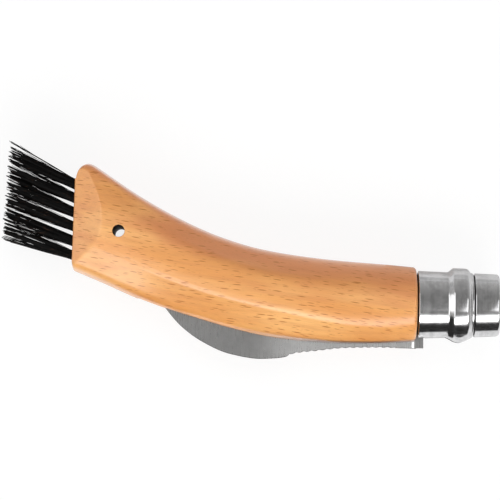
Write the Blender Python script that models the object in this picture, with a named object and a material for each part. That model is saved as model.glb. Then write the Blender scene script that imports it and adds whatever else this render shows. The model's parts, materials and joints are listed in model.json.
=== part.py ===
"""Folding mushroom knife with a brush in the end of its handle, modelled folded.

Units are metres. The pieces are laid out from the blade's pivot: +X runs along the collar's axis to its
open front, +Y is the side of the handle's back, and Z runs along the pivot pin. The folded blade points
along -X with its spine at -Y. The finished knife lies on its side: its box is centred on the origin in
X and Y, and the flat of the handle rests on Z = 0.
"""
import math
import random

import bmesh
import bpy
from mathutils import Matrix, Vector

# General fits
FIT_GAP = 0.0003
CUT_OVERRUN = 0.0030

# Collar: a fixed ferrule on the handle's neck and a lock ring that turns on it, one shared taper
COLLAR_FRONT = 0.0108
COLLAR_LENGTH = 0.0236
COLLAR_BACK_RADIUS = 0.00985
COLLAR_FRONT_RADIUS = 0.00900
COLLAR_EDGE_ROUND = 0.00030
FERRULE_BAND = 0.0073
FERRULE_FRONT_ROUND = 0.0009
FERRULE_WALL = 0.0006
RING_WALL = 0.0008
RING_SHOULDER_GAP = 0.0005
RING_SLOT_WIDTH = 0.0034
BEAD_RISE = 0.00126
BEAD_WIDTH = 0.0070
BEAD_SETBACK = 0.0040
TAB_RISE = 0.00165
TAB_WIDTH = 0.0080
TAB_SETBACK = 0.0040
TAB_ARC_DEG = 24.0
PINCH_POWER = 0.8
LOCK_TURN_DEG = 45.0
LOCK_NOTCH_DEPTH = 0.0022
BEAD_PROFILE_SHARES = ((-1.0, 0.0), (-0.88, 0.22), (-0.75, 0.70), (-0.58, 0.97), (0.0, 1.0),
                       (0.55, 0.97), (0.76, 0.68), (0.89, 0.22), (1.0, 0.0))
TAB_PROFILE_SHARES = ((-1.0, 0.0), (-0.70, 0.36), (-0.38, 0.80), (0.0, 1.0),
                      (0.35, 0.80), (0.72, 0.42), (1.0, 0.0))

# Pivot pin, with a low head at each side that runs in the hollow of the ring's bead
PIN_RADIUS = 0.00125
PIN_HEAD_RADIUS = 0.0015
PIN_HEAD_HEIGHT = 0.00042

# Handle: its back and belly edges follow the tables, as shares of its length and of each edge's rise
HANDLE_LENGTH = 0.0995
HANDLE_THICKNESS = 0.0224
HANDLE_END_RADIUS = 0.01080
HANDLE_SHOULDER_ROUND = 0.0010
BACK_RISE = 0.0329
BELLY_RISE = 0.0200
BACK_EDGE_SHARES = ((0.0, 0.0), (0.10, 0.027), (0.22, 0.054), (0.337, 0.093), (0.453, 0.152),
                    (0.57, 0.256), (0.687, 0.410), (0.80, 0.598), (0.92, 0.838), (1.0, 1.0))
BELLY_EDGE_SHARES = ((0.0, 0.0), (0.13, -0.036), (0.20, -0.038), (0.305, -0.017), (0.41, 0.033),
                     (0.537, 0.163), (0.623, 0.286), (0.725, 0.442), (0.80, 0.577), (0.92, 0.836),
                     (1.0, 1.0))

# Handle section: round at the collar; nearer the brush a flat strip that curves to a crease and a bevel
UPPER_CREASE_SHARES = ((0.0, 0.34), (0.3, 0.38), (0.53, 0.42), (1.0, 0.43))
LOWER_CREASE_SHARES = ((0.0, -0.69), (0.17, -0.60), (0.235, -0.53), (0.32, -0.44), (0.40, -0.367),
                       (0.50, -0.355), (0.65, -0.385), (0.80, -0.385), (0.89, -0.40), (1.0, -0.45))
LOWER_CREASE_WIDTH_SHARES = ((0.0, 0.80), (0.17, 0.845), (0.31, 0.87), (0.45, 0.885), (0.77, 0.885),
                             (0.92, 0.90), (1.0, 0.915))
SIDE_FLAT_SHARE = 0.12
SIDE_CURVE_POWER = 2.2
BACK_WIDTH_SHARES = ((0.0, 0.30), (0.5, 0.36), (0.75, 0.58), (0.92, 0.74), (1.0, 0.76))
BELLY_WIDTH_SHARES = ((0.0, 0.30), (0.5, 0.28), (0.75, 0.38), (0.92, 0.54), (1.0, 0.58))
FACETED_SHARES = ((0.0, 0.0), (0.07, 0.30), (0.2, 0.45), (0.4, 0.78), (0.6, 1.0), (1.0, 1.0))
SECTION_CROWN_SHARE = 0.06
CORNER_ROUND_SHARE = 0.17
UPPER_ROUND_SHARE = 0.22
CREASE_ROUND_SHARE = 0.06
SHOULDER_STATION_SHARES = (0.0, 0.3, 0.65)
SHOULDER_INSET_SHARE = 0.9
END_STATION_SHARES = (0.25, 0.5, 0.68, 0.82, 0.93, 1.0)
END_ROUND_LIMIT_SHARE = 0.985

# Brush end of the handle: a face for the tufts between two side facets
END_FACE_TILT_DEG = 1.65
END_FACE_THICKNESS = 0.0134
END_FACET_LENGTH = 0.0085
BACK_END_ROUND_LENGTH = 0.0054
BACK_END_ROUND_DROP = 0.0084
BELLY_END_ROUND = 0.0008
LANYARD_RADIUS = 0.00175
LANYARD_CHAMFER = 0.00025
LANYARD_FROM_END = 0.0136
LANYARD_HEIGHT_SHARE = 0.536

# Blade, folded: spine and edge as shares of its reach from the pivot and of its depth below the axis
BLADE_REACH = 0.0924
BLADE_DEPTH = 0.0162
BLADE_THICKNESS = 0.00165
SPINE_THICKNESS = 0.00145
EDGE_THICKNESS = 0.00020
TIP_THICKNESS_SHARE = 0.35
TIP_BLUNTNESS = 0.0004
BLOCK_LENGTH = 0.0027
BLOCK_DEPTH = 0.0126
HEEL_SETBACK = 0.0016
HEEL_STEP = 0.0006
SLOT_CLEARANCE = 0.00035
CEILING_CLEARANCE = 0.0010
SPINE_SHARES = ((0.140, -0.786), (0.26, -0.773), (0.36, -0.785), (0.45, -0.838), (0.541, -0.915),
                (0.549, -0.947), (0.60, -0.983), (0.63, -0.989), (0.724, -0.907), (0.818, -0.673),
                (0.881, -0.407), (0.929, -0.096), (0.965, 0.205), (1.0, 0.460))
EDGE_SHARES = ((0.140, 0.410), (0.22, 0.295), (0.35, 0.185), (0.50, 0.115), (0.64, 0.100),
               (0.78, 0.165), (0.90, 0.295), (1.0, 0.478))
GRIND_SHARES = ((0.0, 1.0), (0.45, 0.84), (1.0, 0.0))
SERRATION_COUNT = 14
SERRATION_PITCH = 0.0022
SERRATION_DEPTH = 0.00032
SERRATION_STEPS = 5
SERRATION_POWER = 0.9
SERRATION_SETBACK = 0.0192
NICK_SETBACK = 0.0620
NICK_WHEEL_RADIUS = 0.0360
NICK_WIDTH = 0.0016
NICK_DEPTH = 0.00045
NICK_FROM_SPINE = 0.0027
NICK_LEAN_DEG = 24.0

# Brush: rows up the end face and columns across it, each tuft held by a flat wire anchor
TUFT_ROWS = 6
TUFT_COLUMNS = 3
TUFT_DIAMETER = 0.0024
TUFT_DEPTH = 0.0080
TUFT_RISE_DEG = 22.0
ROW_FAN_DEG = 5.0
COLUMN_FAN_DEG = 6.0
BRUSH_SIDE_MARGIN = 0.0011
BRUSH_BACK_MARGIN = 0.0009
BRUSH_BELLY_MARGIN = 0.0022
PLUG_RECESS = 0.0003
BRISTLE_LENGTH = 0.0216
BRISTLE_TRIM_TILT_DEG = 4.1
BRISTLE_RADIUS = 0.00015
BRISTLE_TIP_SHARE = 0.70
BRISTLE_SPREAD_SHARE = 2.15
BRISTLE_UNEVENNESS = 0.0006
BRISTLE_ROOTING = 0.0006
STRAND_RING_SHARES = ((1, 0.0), (7, 0.50), (13, 1.0))
STRAND_STATION_SHARES = (0.0, 0.5, 1.0)
SPREAD_POWER = 1.3
ANCHOR_THICKNESS = 0.00035
ANCHOR_HEIGHT = 0.0016

# Facets
TURNED_STEPS = 48
RING_STEPS = 30
TAB_STEPS = 4
TANG_STEPS = 20
SLOT_END_STEPS = 8
NOTCH_STEPS = 4
FERRULE_ROUND_STEPS = 4
NICK_STEPS = 96
HOLE_STEPS = 16
PLUG_STEPS = 12
STRAND_SIDES = 3
HANDLE_STATION = 0.0050
SIDE_STEPS = 4
BEVEL_STEPS = 2
CROWN_STEPS = 1
BLADE_STATION = 0.0032
SMOOTH_ANGLE_DEG = 35.0
WELD_DISTANCE = 0.000003

# Places that follow from the sizes above
RING_FRONT = COLLAR_FRONT - FERRULE_BAND - FIT_GAP
RING_BACK = COLLAR_FRONT - COLLAR_LENGTH
SHOULDER = RING_BACK - RING_SHOULDER_GAP
HANDLE_END = SHOULDER - HANDLE_LENGTH
HALF_THICKNESS = HANDLE_THICKNESS / 2
SLOT_WIDTH = BLADE_THICKNESS + 2 * SLOT_CLEARANCE


def collar_radius(x):
    """Outside radius of the collar's shared taper."""
    share = (COLLAR_FRONT - x) / COLLAR_LENGTH
    return COLLAR_FRONT_RADIUS + (COLLAR_BACK_RADIUS - COLLAR_FRONT_RADIUS) * share


def groove_radius(x):
    """Outside radius of the ferrule where the lock ring turns on it."""
    return collar_radius(x) - RING_WALL - FIT_GAP


BORE_RADIUS = groove_radius(RING_FRONT) - FERRULE_WALL
NECK_RADIUS = BORE_RADIUS - FIT_GAP
TANG_RADIUS = math.sqrt(BORE_RADIUS ** 2 - (BLADE_THICKNESS / 2) ** 2) - FIT_GAP
BLOCK_FRONT = -(COLLAR_FRONT + FIT_GAP)
BLOCK_BACK = BLOCK_FRONT - BLOCK_LENGTH
SLOT_CEILING = max(TANG_RADIUS, BLADE_DEPTH * EDGE_SHARES[-1][1]) + CEILING_CLEARANCE
TIP_RADIUS = math.hypot(BLADE_REACH, BLADE_DEPTH * EDGE_SHARES[-1][1])


def smooth_value(table, place):
    """Value at a place on the smooth curve through (place, value) pairs, without overshoot."""
    if place <= table[0][0]:
        return table[0][1]
    if place >= table[-1][0]:
        return table[-1][1]
    spans = [b[0] - a[0] for a, b in zip(table, table[1:])]
    slopes = [(b[1] - a[1]) / span for a, b, span in zip(table, table[1:], spans)]
    tangents = [slopes[0]]
    for before, after, left, right in zip(slopes, slopes[1:], spans, spans[1:]):
        if before * after <= 0:
            tangents.append(0.0)
        else:
            weights = (2 * right + left, right + 2 * left)
            tangents.append(sum(weights) / (weights[0] / before + weights[1] / after))
    tangents.append(slopes[-1])
    index = max(i for i, row in enumerate(table[:-1]) if row[0] <= place)
    span = spans[index]
    t = (place - table[index][0]) / span
    start, end = table[index][1], table[index + 1][1]
    return ((1 + 2 * t) * (1 - t) ** 2 * start + t * (1 - t) ** 2 * span * tangents[index]
            + t * t * (3 - 2 * t) * end + t * t * (t - 1) * span * tangents[index + 1])


# Scene, collections and materials

def clear_scene():
    for item in list(bpy.data.objects):
        bpy.data.objects.remove(item, do_unlink=True)


def new_collection(name, parent=None):
    collection = bpy.data.collections.new(name)
    (parent or bpy.context.scene.collection).children.link(collection)
    return collection


def principled(name, colour, roughness, metallic):
    material = bpy.data.materials.new(name)
    material.use_nodes = True
    shader = material.node_tree.nodes["Principled BSDF"]
    shader.inputs["Base Color"].default_value = (*colour, 1.0)
    shader.inputs["Roughness"].default_value = roughness
    shader.inputs["Metallic"].default_value = metallic
    material.diffuse_color = (*colour, 1.0)
    return material


clear_scene()
knife_parts = new_collection("mushroom_knife")
cutters = new_collection("cutters")
knife = bpy.data.objects.new("knife_origin", None)
knife_parts.objects.link(knife)

beech = principled("varnished_beech", (0.80, 0.42, 0.17), 0.38, 0.0)
blade_steel = principled("brushed_stainless", (0.55, 0.55, 0.56), 0.34, 1.0)
collar_steel = principled("polished_stainless", (0.66, 0.66, 0.67), 0.20, 1.0)
pin_steel = principled("pin_steel", (0.58, 0.57, 0.55), 0.30, 1.0)
dark_bristle = principled("dark_boar_bristle", (0.018, 0.014, 0.012), 0.50, 0.0)
anchor_wire = principled("galvanised_wire", (0.45, 0.45, 0.44), 0.45, 1.0)


# Makers of solids

def add_object(name, bm, material=None, collection=None):
    """Object with outward faces, hung on the knife's origin."""
    bmesh.ops.recalc_face_normals(bm, faces=bm.faces[:])
    mesh = bpy.data.meshes.new(name)
    bm.to_mesh(mesh)
    bm.free()
    mesh.shade_smooth()
    mesh.set_sharp_from_angle(angle=math.radians(SMOOTH_ANGLE_DEG))
    item = bpy.data.objects.new(name, mesh)
    (collection or knife_parts).objects.link(item)
    item.parent = knife
    if material:
        mesh.materials.append(material)
    return item


def add_cutter(name, bm, collection=None):
    item = add_object(name, bm, collection=collection or cutters)
    item.hide_render = True
    item.display_type = "WIRE"
    return item


def boolean(target, other, operation="DIFFERENCE"):
    """Exact Boolean with one object or with every object of a collection."""
    modifier = target.modifiers.new(operation.lower() + "_" + other.name, "BOOLEAN")
    modifier.operation = operation
    modifier.solver = "EXACT"
    if isinstance(other, bpy.types.Collection):
        modifier.operand_type = "COLLECTION"
        modifier.collection = other
    else:
        modifier.object = other


def turned(profile, axis="X", steps=TURNED_STEPS):
    """Solid of revolution of a closed loop of (place along the axis, radius) points."""
    bm = bmesh.new()
    turn_axis = Vector((1, 0, 0)) if axis == "X" else Vector((0, 0, 1))
    if axis == "X":
        verts = [bm.verts.new((place, radius, 0)) for place, radius in profile]
    else:
        verts = [bm.verts.new((radius, 0, place)) for place, radius in profile]
    edges = [bm.edges.new((a, b)) for a, b in zip(verts, verts[1:])]
    if min(radius for place, radius in profile) > 0:
        edges.append(bm.edges.new((verts[-1], verts[0])))
    bmesh.ops.spin(bm, geom=verts + edges, cent=(0, 0, 0), axis=turn_axis, dvec=(0, 0, 0),
                   angle=2 * math.pi, steps=steps, use_duplicate=False)
    bmesh.ops.remove_doubles(bm, verts=bm.verts[:], dist=WELD_DISTANCE)
    return bm


def prism(outline, low, high):
    """Flat outline in X and Y, raised from Z = low to Z = high."""
    bm = bmesh.new()
    face = bm.faces.new([bm.verts.new((x, y, low)) for x, y in outline])
    raised = bmesh.ops.extrude_face_region(bm, geom=[face])
    moved = [v for v in raised["geom"] if isinstance(v, bmesh.types.BMVert)]
    bmesh.ops.translate(bm, verts=moved, vec=(0, 0, high - low))
    return bm


def cylinder(radius, start, end, steps, place=Matrix()):
    """Cylinder along the Z of a placed frame."""
    bm = bmesh.new()
    bmesh.ops.create_cone(bm, cap_ends=True, segments=steps, radius1=radius, radius2=radius,
                          depth=end - start, matrix=place @ Matrix.Translation((0, 0, (start + end) / 2)))
    return bm


def block(size, centre, place=Matrix()):
    bm = bmesh.new()
    bmesh.ops.create_cube(bm, size=1, matrix=place @ Matrix.Translation(centre) @ Matrix.Diagonal((*size, 1)))
    return bm


def loft(sections):
    """Closed skin over a run of point loops that all have the same number of points."""
    bm = bmesh.new()
    rows = [[bm.verts.new(point) for point in section] for section in sections]
    count = len(rows[0])
    for near, far in zip(rows, rows[1:]):
        for i in range(count):
            j = (i + 1) % count
            bm.faces.new((near[i], near[j], far[j], far[i]))
    bm.faces.new(rows[0])
    bm.faces.new(rows[-1])
    return bm


def append_bmesh(bm, other):
    """Add one bmesh's geometry to another as separate shells."""
    mesh = bpy.data.meshes.new("passing")
    other.to_mesh(mesh)
    other.free()
    bm.from_mesh(mesh)
    bpy.data.meshes.remove(mesh)


def arc(radius, start_deg, end_deg, steps, centre=(0, 0)):
    angles = [math.radians(start_deg + (end_deg - start_deg) * i / steps) for i in range(steps + 1)]
    return [(centre[0] + radius * math.cos(a), centre[1] + radius * math.sin(a)) for a in angles]


# Handle

def end_rounding(x, start, length, drop):
    """How far an elliptic rounding that starts at a place has drawn the edge in."""
    share = min(max((start - x) / length, 0.0), END_ROUND_LIMIT_SHARE)
    return drop * (1 - math.sqrt(1 - share * share))


def back_edge(x):
    share = (SHOULDER - x) / HANDLE_LENGTH
    height = HANDLE_END_RADIUS + BACK_RISE * smooth_value(BACK_EDGE_SHARES, share)
    start = HANDLE_END + BACK_END_ROUND_LENGTH + end_face_lean(BACK_RISE)
    return height - end_rounding(x, start, BACK_END_ROUND_LENGTH, BACK_END_ROUND_DROP)


def belly_edge(x):
    share = (SHOULDER - x) / HANDLE_LENGTH
    height = -HANDLE_END_RADIUS + BELLY_RISE * smooth_value(BELLY_EDGE_SHARES, share)
    return height + end_rounding(x, HANDLE_END + BELLY_END_ROUND, BELLY_END_ROUND, BELLY_END_ROUND)


def end_face_lean(rise):
    """How far towards the collar the tilted end face stands, at a rise above its foot."""
    return rise * math.tan(math.radians(END_FACE_TILT_DEG))


def rounded_corner(before, corner, after, distance, steps=3):
    """Points of a curve that cuts a corner at a distance along each of its sides."""
    ends = []
    for other in (before, after):
        side = (other[0] - corner[0], other[1] - corner[1])
        length = math.hypot(*side)
        reach = min(distance, length / 2) / length
        ends.append((corner[0] + side[0] * reach, corner[1] + side[1] * reach))
    points = []
    for i in range(steps + 1):
        t = i / steps
        points.append(tuple((1 - t) ** 2 * a + 2 * t * (1 - t) * c + t * t * b
                            for a, c, b in zip(ends[0], corner, ends[1])))
    return points


def between(start, end, count):
    return [tuple(a + (b - a) * i / (count + 1) for a, b in zip(start, end)) for i in range(1, count + 1)]


def side_curve(start, end):
    """Points down the handle's side, which leaves its flat strip and curves more and more to its crease."""
    points = []
    for i in range(SIDE_STEPS + 1):
        t = i / SIDE_STEPS
        bend = t ** SIDE_CURVE_POWER
        points.append((start[0] + (end[0] - start[0]) * t, start[1] + (end[1] - start[1]) * bend))
    return points


def half_section(share):
    """Half outline, from back to belly, as (share of half height, share of half thickness) points."""
    upper = smooth_value(UPPER_CREASE_SHARES, share)
    lower = smooth_value(LOWER_CREASE_SHARES, share)
    ridge, back_corner = (1.0, 0.0), (1.0 - SECTION_CROWN_SHARE, smooth_value(BACK_WIDTH_SHARES, share))
    keel, belly_corner = (-1.0, 0.0), (-1.0 + SECTION_CROWN_SHARE, smooth_value(BELLY_WIDTH_SHARES, share))
    high, low = (upper, 1.0), (lower, smooth_value(LOWER_CREASE_WIDTH_SHARES, share))
    side = side_curve((upper - UPPER_ROUND_SHARE - SIDE_FLAT_SHARE, 1.0), low)
    back = rounded_corner(ridge, back_corner, high, CORNER_ROUND_SHARE)
    shoulder = rounded_corner(back_corner, high, (upper - 2 * UPPER_ROUND_SHARE, 1.0), UPPER_ROUND_SHARE)
    crease = rounded_corner(side[-2], low, belly_corner, CREASE_ROUND_SHARE)
    belly = rounded_corner(low, belly_corner, keel, CORNER_ROUND_SHARE)
    points = [ridge] + between(ridge, back[0], CROWN_STEPS) + back
    points += between(back[-1], shoulder[0], BEVEL_STEPS) + shoulder + side[:-1]
    points += crease + between(crease[-1], belly[0], BEVEL_STEPS) + belly
    points += between(belly[-1], keel, CROWN_STEPS) + [keel]
    faceted = smooth_value(FACETED_SHARES, share)
    blended = []
    for rise, width in points:
        distance = math.hypot(rise, width)
        scale = (faceted * distance + (1 - faceted)) / distance
        blended.append((rise * scale, width * scale))
    return blended


def handle_section(x, share, top, bottom, half_thickness):
    """Closed loop of points across the handle at a place along it."""
    half = half_section(share)
    middle, half_height = (top + bottom) / 2, (top - bottom) / 2
    front = [(x, middle + half_height * rise, half_thickness * width) for rise, width in half]
    rear = [(point[0], point[1], -point[2]) for point in front[-2:0:-1]]
    return front + rear


def handle_stations():
    """Places along the body, close together at the shoulder and at the brush end."""
    end_zone = HANDLE_END + BACK_END_ROUND_LENGTH + end_face_lean(BACK_RISE)
    body = SHOULDER - HANDLE_SHOULDER_ROUND
    count = round((body - end_zone) / HANDLE_STATION)
    places = [body + (end_zone - body) * i / count for i in range(count + 1)]
    places += [end_zone + (HANDLE_END - end_zone) * share for share in END_STATION_SHARES]
    return places + [HANDLE_END - end_face_lean(BELLY_RISE) - BELLY_END_ROUND]


def make_handle():
    neck_end = COLLAR_FRONT - FIT_GAP
    neck = [(neck_end, NECK_RADIUS - COLLAR_EDGE_ROUND), (neck_end - COLLAR_EDGE_ROUND, NECK_RADIUS),
            (SHOULDER, NECK_RADIUS)]
    sections = [handle_section(x, 0.0, radius, -radius, radius) for x, radius in neck]
    for share in SHOULDER_STATION_SHARES:
        x = SHOULDER - HANDLE_SHOULDER_ROUND * share
        inset = SHOULDER_INSET_SHARE * HANDLE_SHOULDER_ROUND * (1 - math.sqrt(1 - (1 - share) ** 2))
        top, bottom = back_edge(x) - inset, belly_edge(x) + inset
        sections.append(handle_section(x, 0.0, top, bottom, HALF_THICKNESS - inset))
    for x in handle_stations():
        share = (SHOULDER - x) / HANDLE_LENGTH
        sections.append(handle_section(x, share, back_edge(x), belly_edge(x), HALF_THICKNESS))
    bm = loft(sections)
    slice_end(bm)
    return add_object("handle", bm, beech)


def slice_end(bm):
    """Cut the tilted end face and the two side facets."""
    tilt = math.radians(END_FACE_TILT_DEG)
    foot = Vector((HANDLE_END, belly_edge(HANDLE_END), 0))
    cuts = [(foot, Vector((-math.cos(tilt), math.sin(tilt), 0)))]
    slope = math.atan2(HALF_THICKNESS - END_FACE_THICKNESS / 2, END_FACET_LENGTH)
    for side in (1, -1):
        corner = Vector((HANDLE_END, 0, side * END_FACE_THICKNESS / 2))
        cuts.append((corner, Vector((-math.sin(slope), 0, side * math.cos(slope)))))
    for place, normal in cuts:
        geometry = bm.verts[:] + bm.edges[:] + bm.faces[:]
        bmesh.ops.bisect_plane(bm, geom=geometry, dist=WELD_DISTANCE / 10, plane_co=place, plane_no=normal,
                               clear_outer=True)
        open_edges = [edge for edge in bm.edges if edge.is_boundary]
        bmesh.ops.edgeloop_fill(bm, edges=open_edges)


def slot_outline():
    """Saw slot for the folded blade, ended by an arc about the pivot that the tip swings clear of."""
    radius = TIP_RADIUS + SLOT_CLEARANCE + FIT_GAP
    top = math.degrees(math.asin(SLOT_CEILING / radius))
    bottom = math.degrees(math.asin((BLADE_DEPTH + CUT_OVERRUN) / radius))
    front = COLLAR_FRONT + CUT_OVERRUN
    floor = -(BLADE_DEPTH + CUT_OVERRUN)
    return [(front, floor), (front, SLOT_CEILING)] + arc(radius, 180 - top, 180 + bottom, SLOT_END_STEPS)


def lanyard_place():
    x = HANDLE_END + LANYARD_FROM_END
    low, high = belly_edge(x), back_edge(x)
    return x, low + (high - low) * LANYARD_HEIGHT_SHARE


def make_lanyard_cutter():
    """Through hole with a small chamfer at both sides of the handle."""
    face = HALF_THICKNESS
    flare = LANYARD_RADIUS + LANYARD_CHAMFER + CUT_OVERRUN
    outer = face + CUT_OVERRUN
    inner = face - LANYARD_CHAMFER
    profile = [(-outer, 0), (-outer, flare), (-inner, LANYARD_RADIUS), (inner, LANYARD_RADIUS),
               (outer, flare), (outer, 0)]
    bm = turned(profile, axis="Z", steps=HOLE_STEPS * 2)
    x, y = lanyard_place()
    bmesh.ops.translate(bm, verts=bm.verts[:], vec=(x, y, 0))
    return add_cutter("lanyard_hole_cutter", bm)


# Collar

def bead_height(x, width):
    """Share of the bead's rise at a place along the collar, for an outer or inner bead width."""
    centre = RING_FRONT - BEAD_SETBACK
    return smooth_value(BEAD_PROFILE_SHARES, (x - centre) / (width / 2))


def tab_height(x):
    return smooth_value(TAB_PROFILE_SHARES, (x - (RING_FRONT - TAB_SETBACK)) / (TAB_WIDTH / 2))


def ring_places():
    """Places along the ring: its rounded ends, and close together over the bead and the tabs."""
    centre, half = RING_FRONT - BEAD_SETBACK, BEAD_WIDTH / 2
    tab_start = RING_FRONT - TAB_SETBACK - TAB_WIDTH / 2
    places = [RING_BACK, RING_BACK + COLLAR_EDGE_ROUND, (RING_BACK + tab_start) / 2, tab_start]
    places += [centre + half * share for share, rise in BEAD_PROFILE_SHARES]
    places += [RING_FRONT - COLLAR_EDGE_ROUND, RING_FRONT]
    return sorted(places)


def make_ring():
    """Open ring: one wall profile carried round the axis, with a pinched thumb tab at each slot edge."""
    places = ring_places()
    inner_places = [RING_FRONT] + [x for x in reversed(places[1:-1]) if x < RING_FRONT - COLLAR_EDGE_ROUND]
    inner_places.append(RING_BACK)
    tab_share = TAB_ARC_DEG / 360
    turns = [tab_share * i / TAB_STEPS for i in range(TAB_STEPS)]
    turns += [tab_share + (1 - 2 * tab_share) * i / RING_STEPS for i in range(RING_STEPS + 1)]
    turns += [1 - share for share in reversed(turns[:TAB_STEPS])]
    sections = []
    for turn in turns:
        pinch = max(0.0, 1 - min(turn, 1 - turn) / tab_share) ** PINCH_POWER
        outline = []
        for x in places:
            bead = BEAD_RISE * bead_height(x, BEAD_WIDTH)
            tab = TAB_RISE * tab_height(x)
            edge = COLLAR_EDGE_ROUND if x in (RING_BACK, RING_FRONT) else 0.0
            outline.append((x, collar_radius(x) + bead + (tab - bead) * pinch - edge))
        for x in inner_places:
            bead = BEAD_RISE * bead_height(x, BEAD_WIDTH - 2 * RING_WALL)
            outline.append((x, collar_radius(x) - RING_WALL + bead))
        sections.append([ring_point(x, radius, turn) for x, radius in outline])
    return add_object("lock_ring", loft(sections), collar_steel)


def ring_point(x, radius, turn):
    """Point at a share of the way round, from the slot's wall on +Z to its wall on -Z."""
    wall = math.asin(RING_SLOT_WIDTH / 2 / radius)
    angle = -math.pi / 2 + wall + turn * (2 * math.pi - 2 * wall)
    return (x, radius * math.sin(angle), radius * math.cos(angle))


def make_lock_notch():
    """Rebate in the ring's back edge that lets it turn over the folded blade's block."""
    radius = COLLAR_BACK_RADIUS + BEAD_RISE + CUT_OVERRUN
    block_half = math.degrees(math.asin((BLADE_THICKNESS / 2 + SLOT_CLEARANCE) / BORE_RADIUS))
    reach = LOCK_TURN_DEG + block_half
    sector = [(0, 0)] + arc(radius, -90, -90 - reach, NOTCH_STEPS)
    bm = prism(sector, RING_BACK - CUT_OVERRUN, RING_BACK + LOCK_NOTCH_DEPTH)
    for vert in bm.verts:
        across, up, along = vert.co
        vert.co = Vector((along, up, across))
    return add_cutter("lock_notch_cutter", bm)


def make_ferrule():
    back = SHOULDER + FIT_GAP
    band_back = RING_FRONT + FIT_GAP
    corner = FERRULE_FRONT_ROUND
    profile = [(back, BORE_RADIUS), (back, groove_radius(back)),
               (band_back, groove_radius(band_back)),
               (band_back, collar_radius(band_back) - COLLAR_EDGE_ROUND),
               (band_back + COLLAR_EDGE_ROUND, collar_radius(band_back))]
    for step in range(FERRULE_ROUND_STEPS + 1):
        angle = math.pi / 2 * step / FERRULE_ROUND_STEPS
        x = COLLAR_FRONT - corner * (1 - math.sin(angle))
        profile.append((x, collar_radius(COLLAR_FRONT) - corner * (1 - math.cos(angle))))
    profile.append((COLLAR_FRONT, BORE_RADIUS + COLLAR_EDGE_ROUND))
    profile.append((COLLAR_FRONT - COLLAR_EDGE_ROUND, BORE_RADIUS))
    return add_object("fixed_ferrule", turned(profile), collar_steel)


def make_ferrule_slot():
    length = COLLAR_LENGTH + 2 * CUT_OVERRUN
    depth = COLLAR_BACK_RADIUS + CUT_OVERRUN
    middle = (RING_BACK + COLLAR_FRONT) / 2
    bm = block((length, depth, SLOT_WIDTH), (middle, -depth / 2, 0))
    return add_cutter("ferrule_slot_cutter", bm)


def make_pin():
    seat = groove_radius(0) + FIT_GAP
    crown = seat + PIN_HEAD_HEIGHT
    rim = seat + PIN_HEAD_HEIGHT / 2
    half = [(seat, PIN_RADIUS), (seat, PIN_HEAD_RADIUS), (rim, PIN_HEAD_RADIUS),
            (crown, PIN_HEAD_RADIUS / 2), (crown, 0)]
    profile = [(-place, radius) for place, radius in reversed(half)] + half
    return add_object("pivot_pin", turned(profile, axis="Z", steps=HOLE_STEPS), pin_steel)


# Blade

def tang_outline():
    """Flat tang of the folded blade: a disc about the pin, a straight root and the stop block."""
    heel = BLOCK_BACK + HEEL_SETBACK
    outline = [(BLOCK_BACK, -BLOCK_DEPTH), (BLOCK_FRONT, -BLOCK_DEPTH), (BLOCK_FRONT, -TANG_RADIUS)]
    outline += arc(TANG_RADIUS, -90, 90, TANG_STEPS)
    return outline + [(heel, TANG_RADIUS), (BLOCK_BACK, TANG_RADIUS - HEEL_STEP)]


def serration(x):
    """Depth of the scalloped spine at a place, measured from its crests."""
    place = (-SERRATION_SETBACK - x) / SERRATION_PITCH
    if place <= 0 or place >= SERRATION_COUNT:
        return 0.0
    return SERRATION_DEPTH * (1 - abs(math.sin(math.pi * place))) ** SERRATION_POWER


def blade_places():
    start = BLOCK_BACK + BLOCK_LENGTH / 4
    scallop_start, scallop_end = -SERRATION_SETBACK, -SERRATION_SETBACK - SERRATION_PITCH * SERRATION_COUNT
    steps = SERRATION_COUNT * SERRATION_STEPS
    places = [start, (start + scallop_start) / 2]
    places += [scallop_start + (scallop_end - scallop_start) * i / steps for i in range(steps + 1)]
    tip = -BLADE_REACH + TIP_BLUNTNESS
    count = round((scallop_end - tip) / BLADE_STATION)
    return places + [scallop_end + (tip - scallop_end) * i / count for i in range(1, count + 1)]


def make_blade_grind():
    """Ground part of the blade: a taper from spine to edge, thinner towards the tip."""
    sections = []
    for x in blade_places():
        share = -x / BLADE_REACH
        spine = BLADE_DEPTH * smooth_value(SPINE_SHARES, share) + serration(x)
        edge = BLADE_DEPTH * smooth_value(EDGE_SHARES, share)
        half_spine = SPINE_THICKNESS / 2 * (1 - (1 - TIP_THICKNESS_SHARE) * share ** 2)
        half_edge = EDGE_THICKNESS / 2
        side = [(spine + (edge - spine) * height, half_edge + (half_spine - half_edge) * thickness)
                for height, thickness in GRIND_SHARES]
        front = [(x, y, z) for y, z in side]
        sections.append(front + [(x, y, -z) for x, y, z in reversed(front)])
    return add_cutter("blade_grind", loft(sections))


def make_nail_nick():
    """Tilted disc that grinds the opening nick into the far face of the blade."""
    share = NICK_SETBACK / BLADE_REACH
    step = TIP_BLUNTNESS / BLADE_REACH
    spine = BLADE_DEPTH * smooth_value(SPINE_SHARES, share)
    rise = BLADE_DEPTH * (smooth_value(SPINE_SHARES, share + step) - smooth_value(SPINE_SHARES, share - step))
    along = math.atan2(rise, -2 * TIP_BLUNTNESS)
    lean = math.radians(NICK_LEAN_DEG)
    face = SPINE_THICKNESS / 2
    place = (Matrix.Translation((-NICK_SETBACK, spine + NICK_FROM_SPINE, -face + NICK_DEPTH))
             @ Matrix.Rotation(along, 4, "Z") @ Matrix.Rotation(math.pi / 2 - lean, 4, "X")
             @ Matrix.Translation((0, -NICK_WHEEL_RADIUS, 0)))
    bm = cylinder(NICK_WHEEL_RADIUS, -NICK_WIDTH / 2, NICK_WIDTH / 2, NICK_STEPS, place)
    return add_cutter("nail_nick_cutter", bm)


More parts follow.
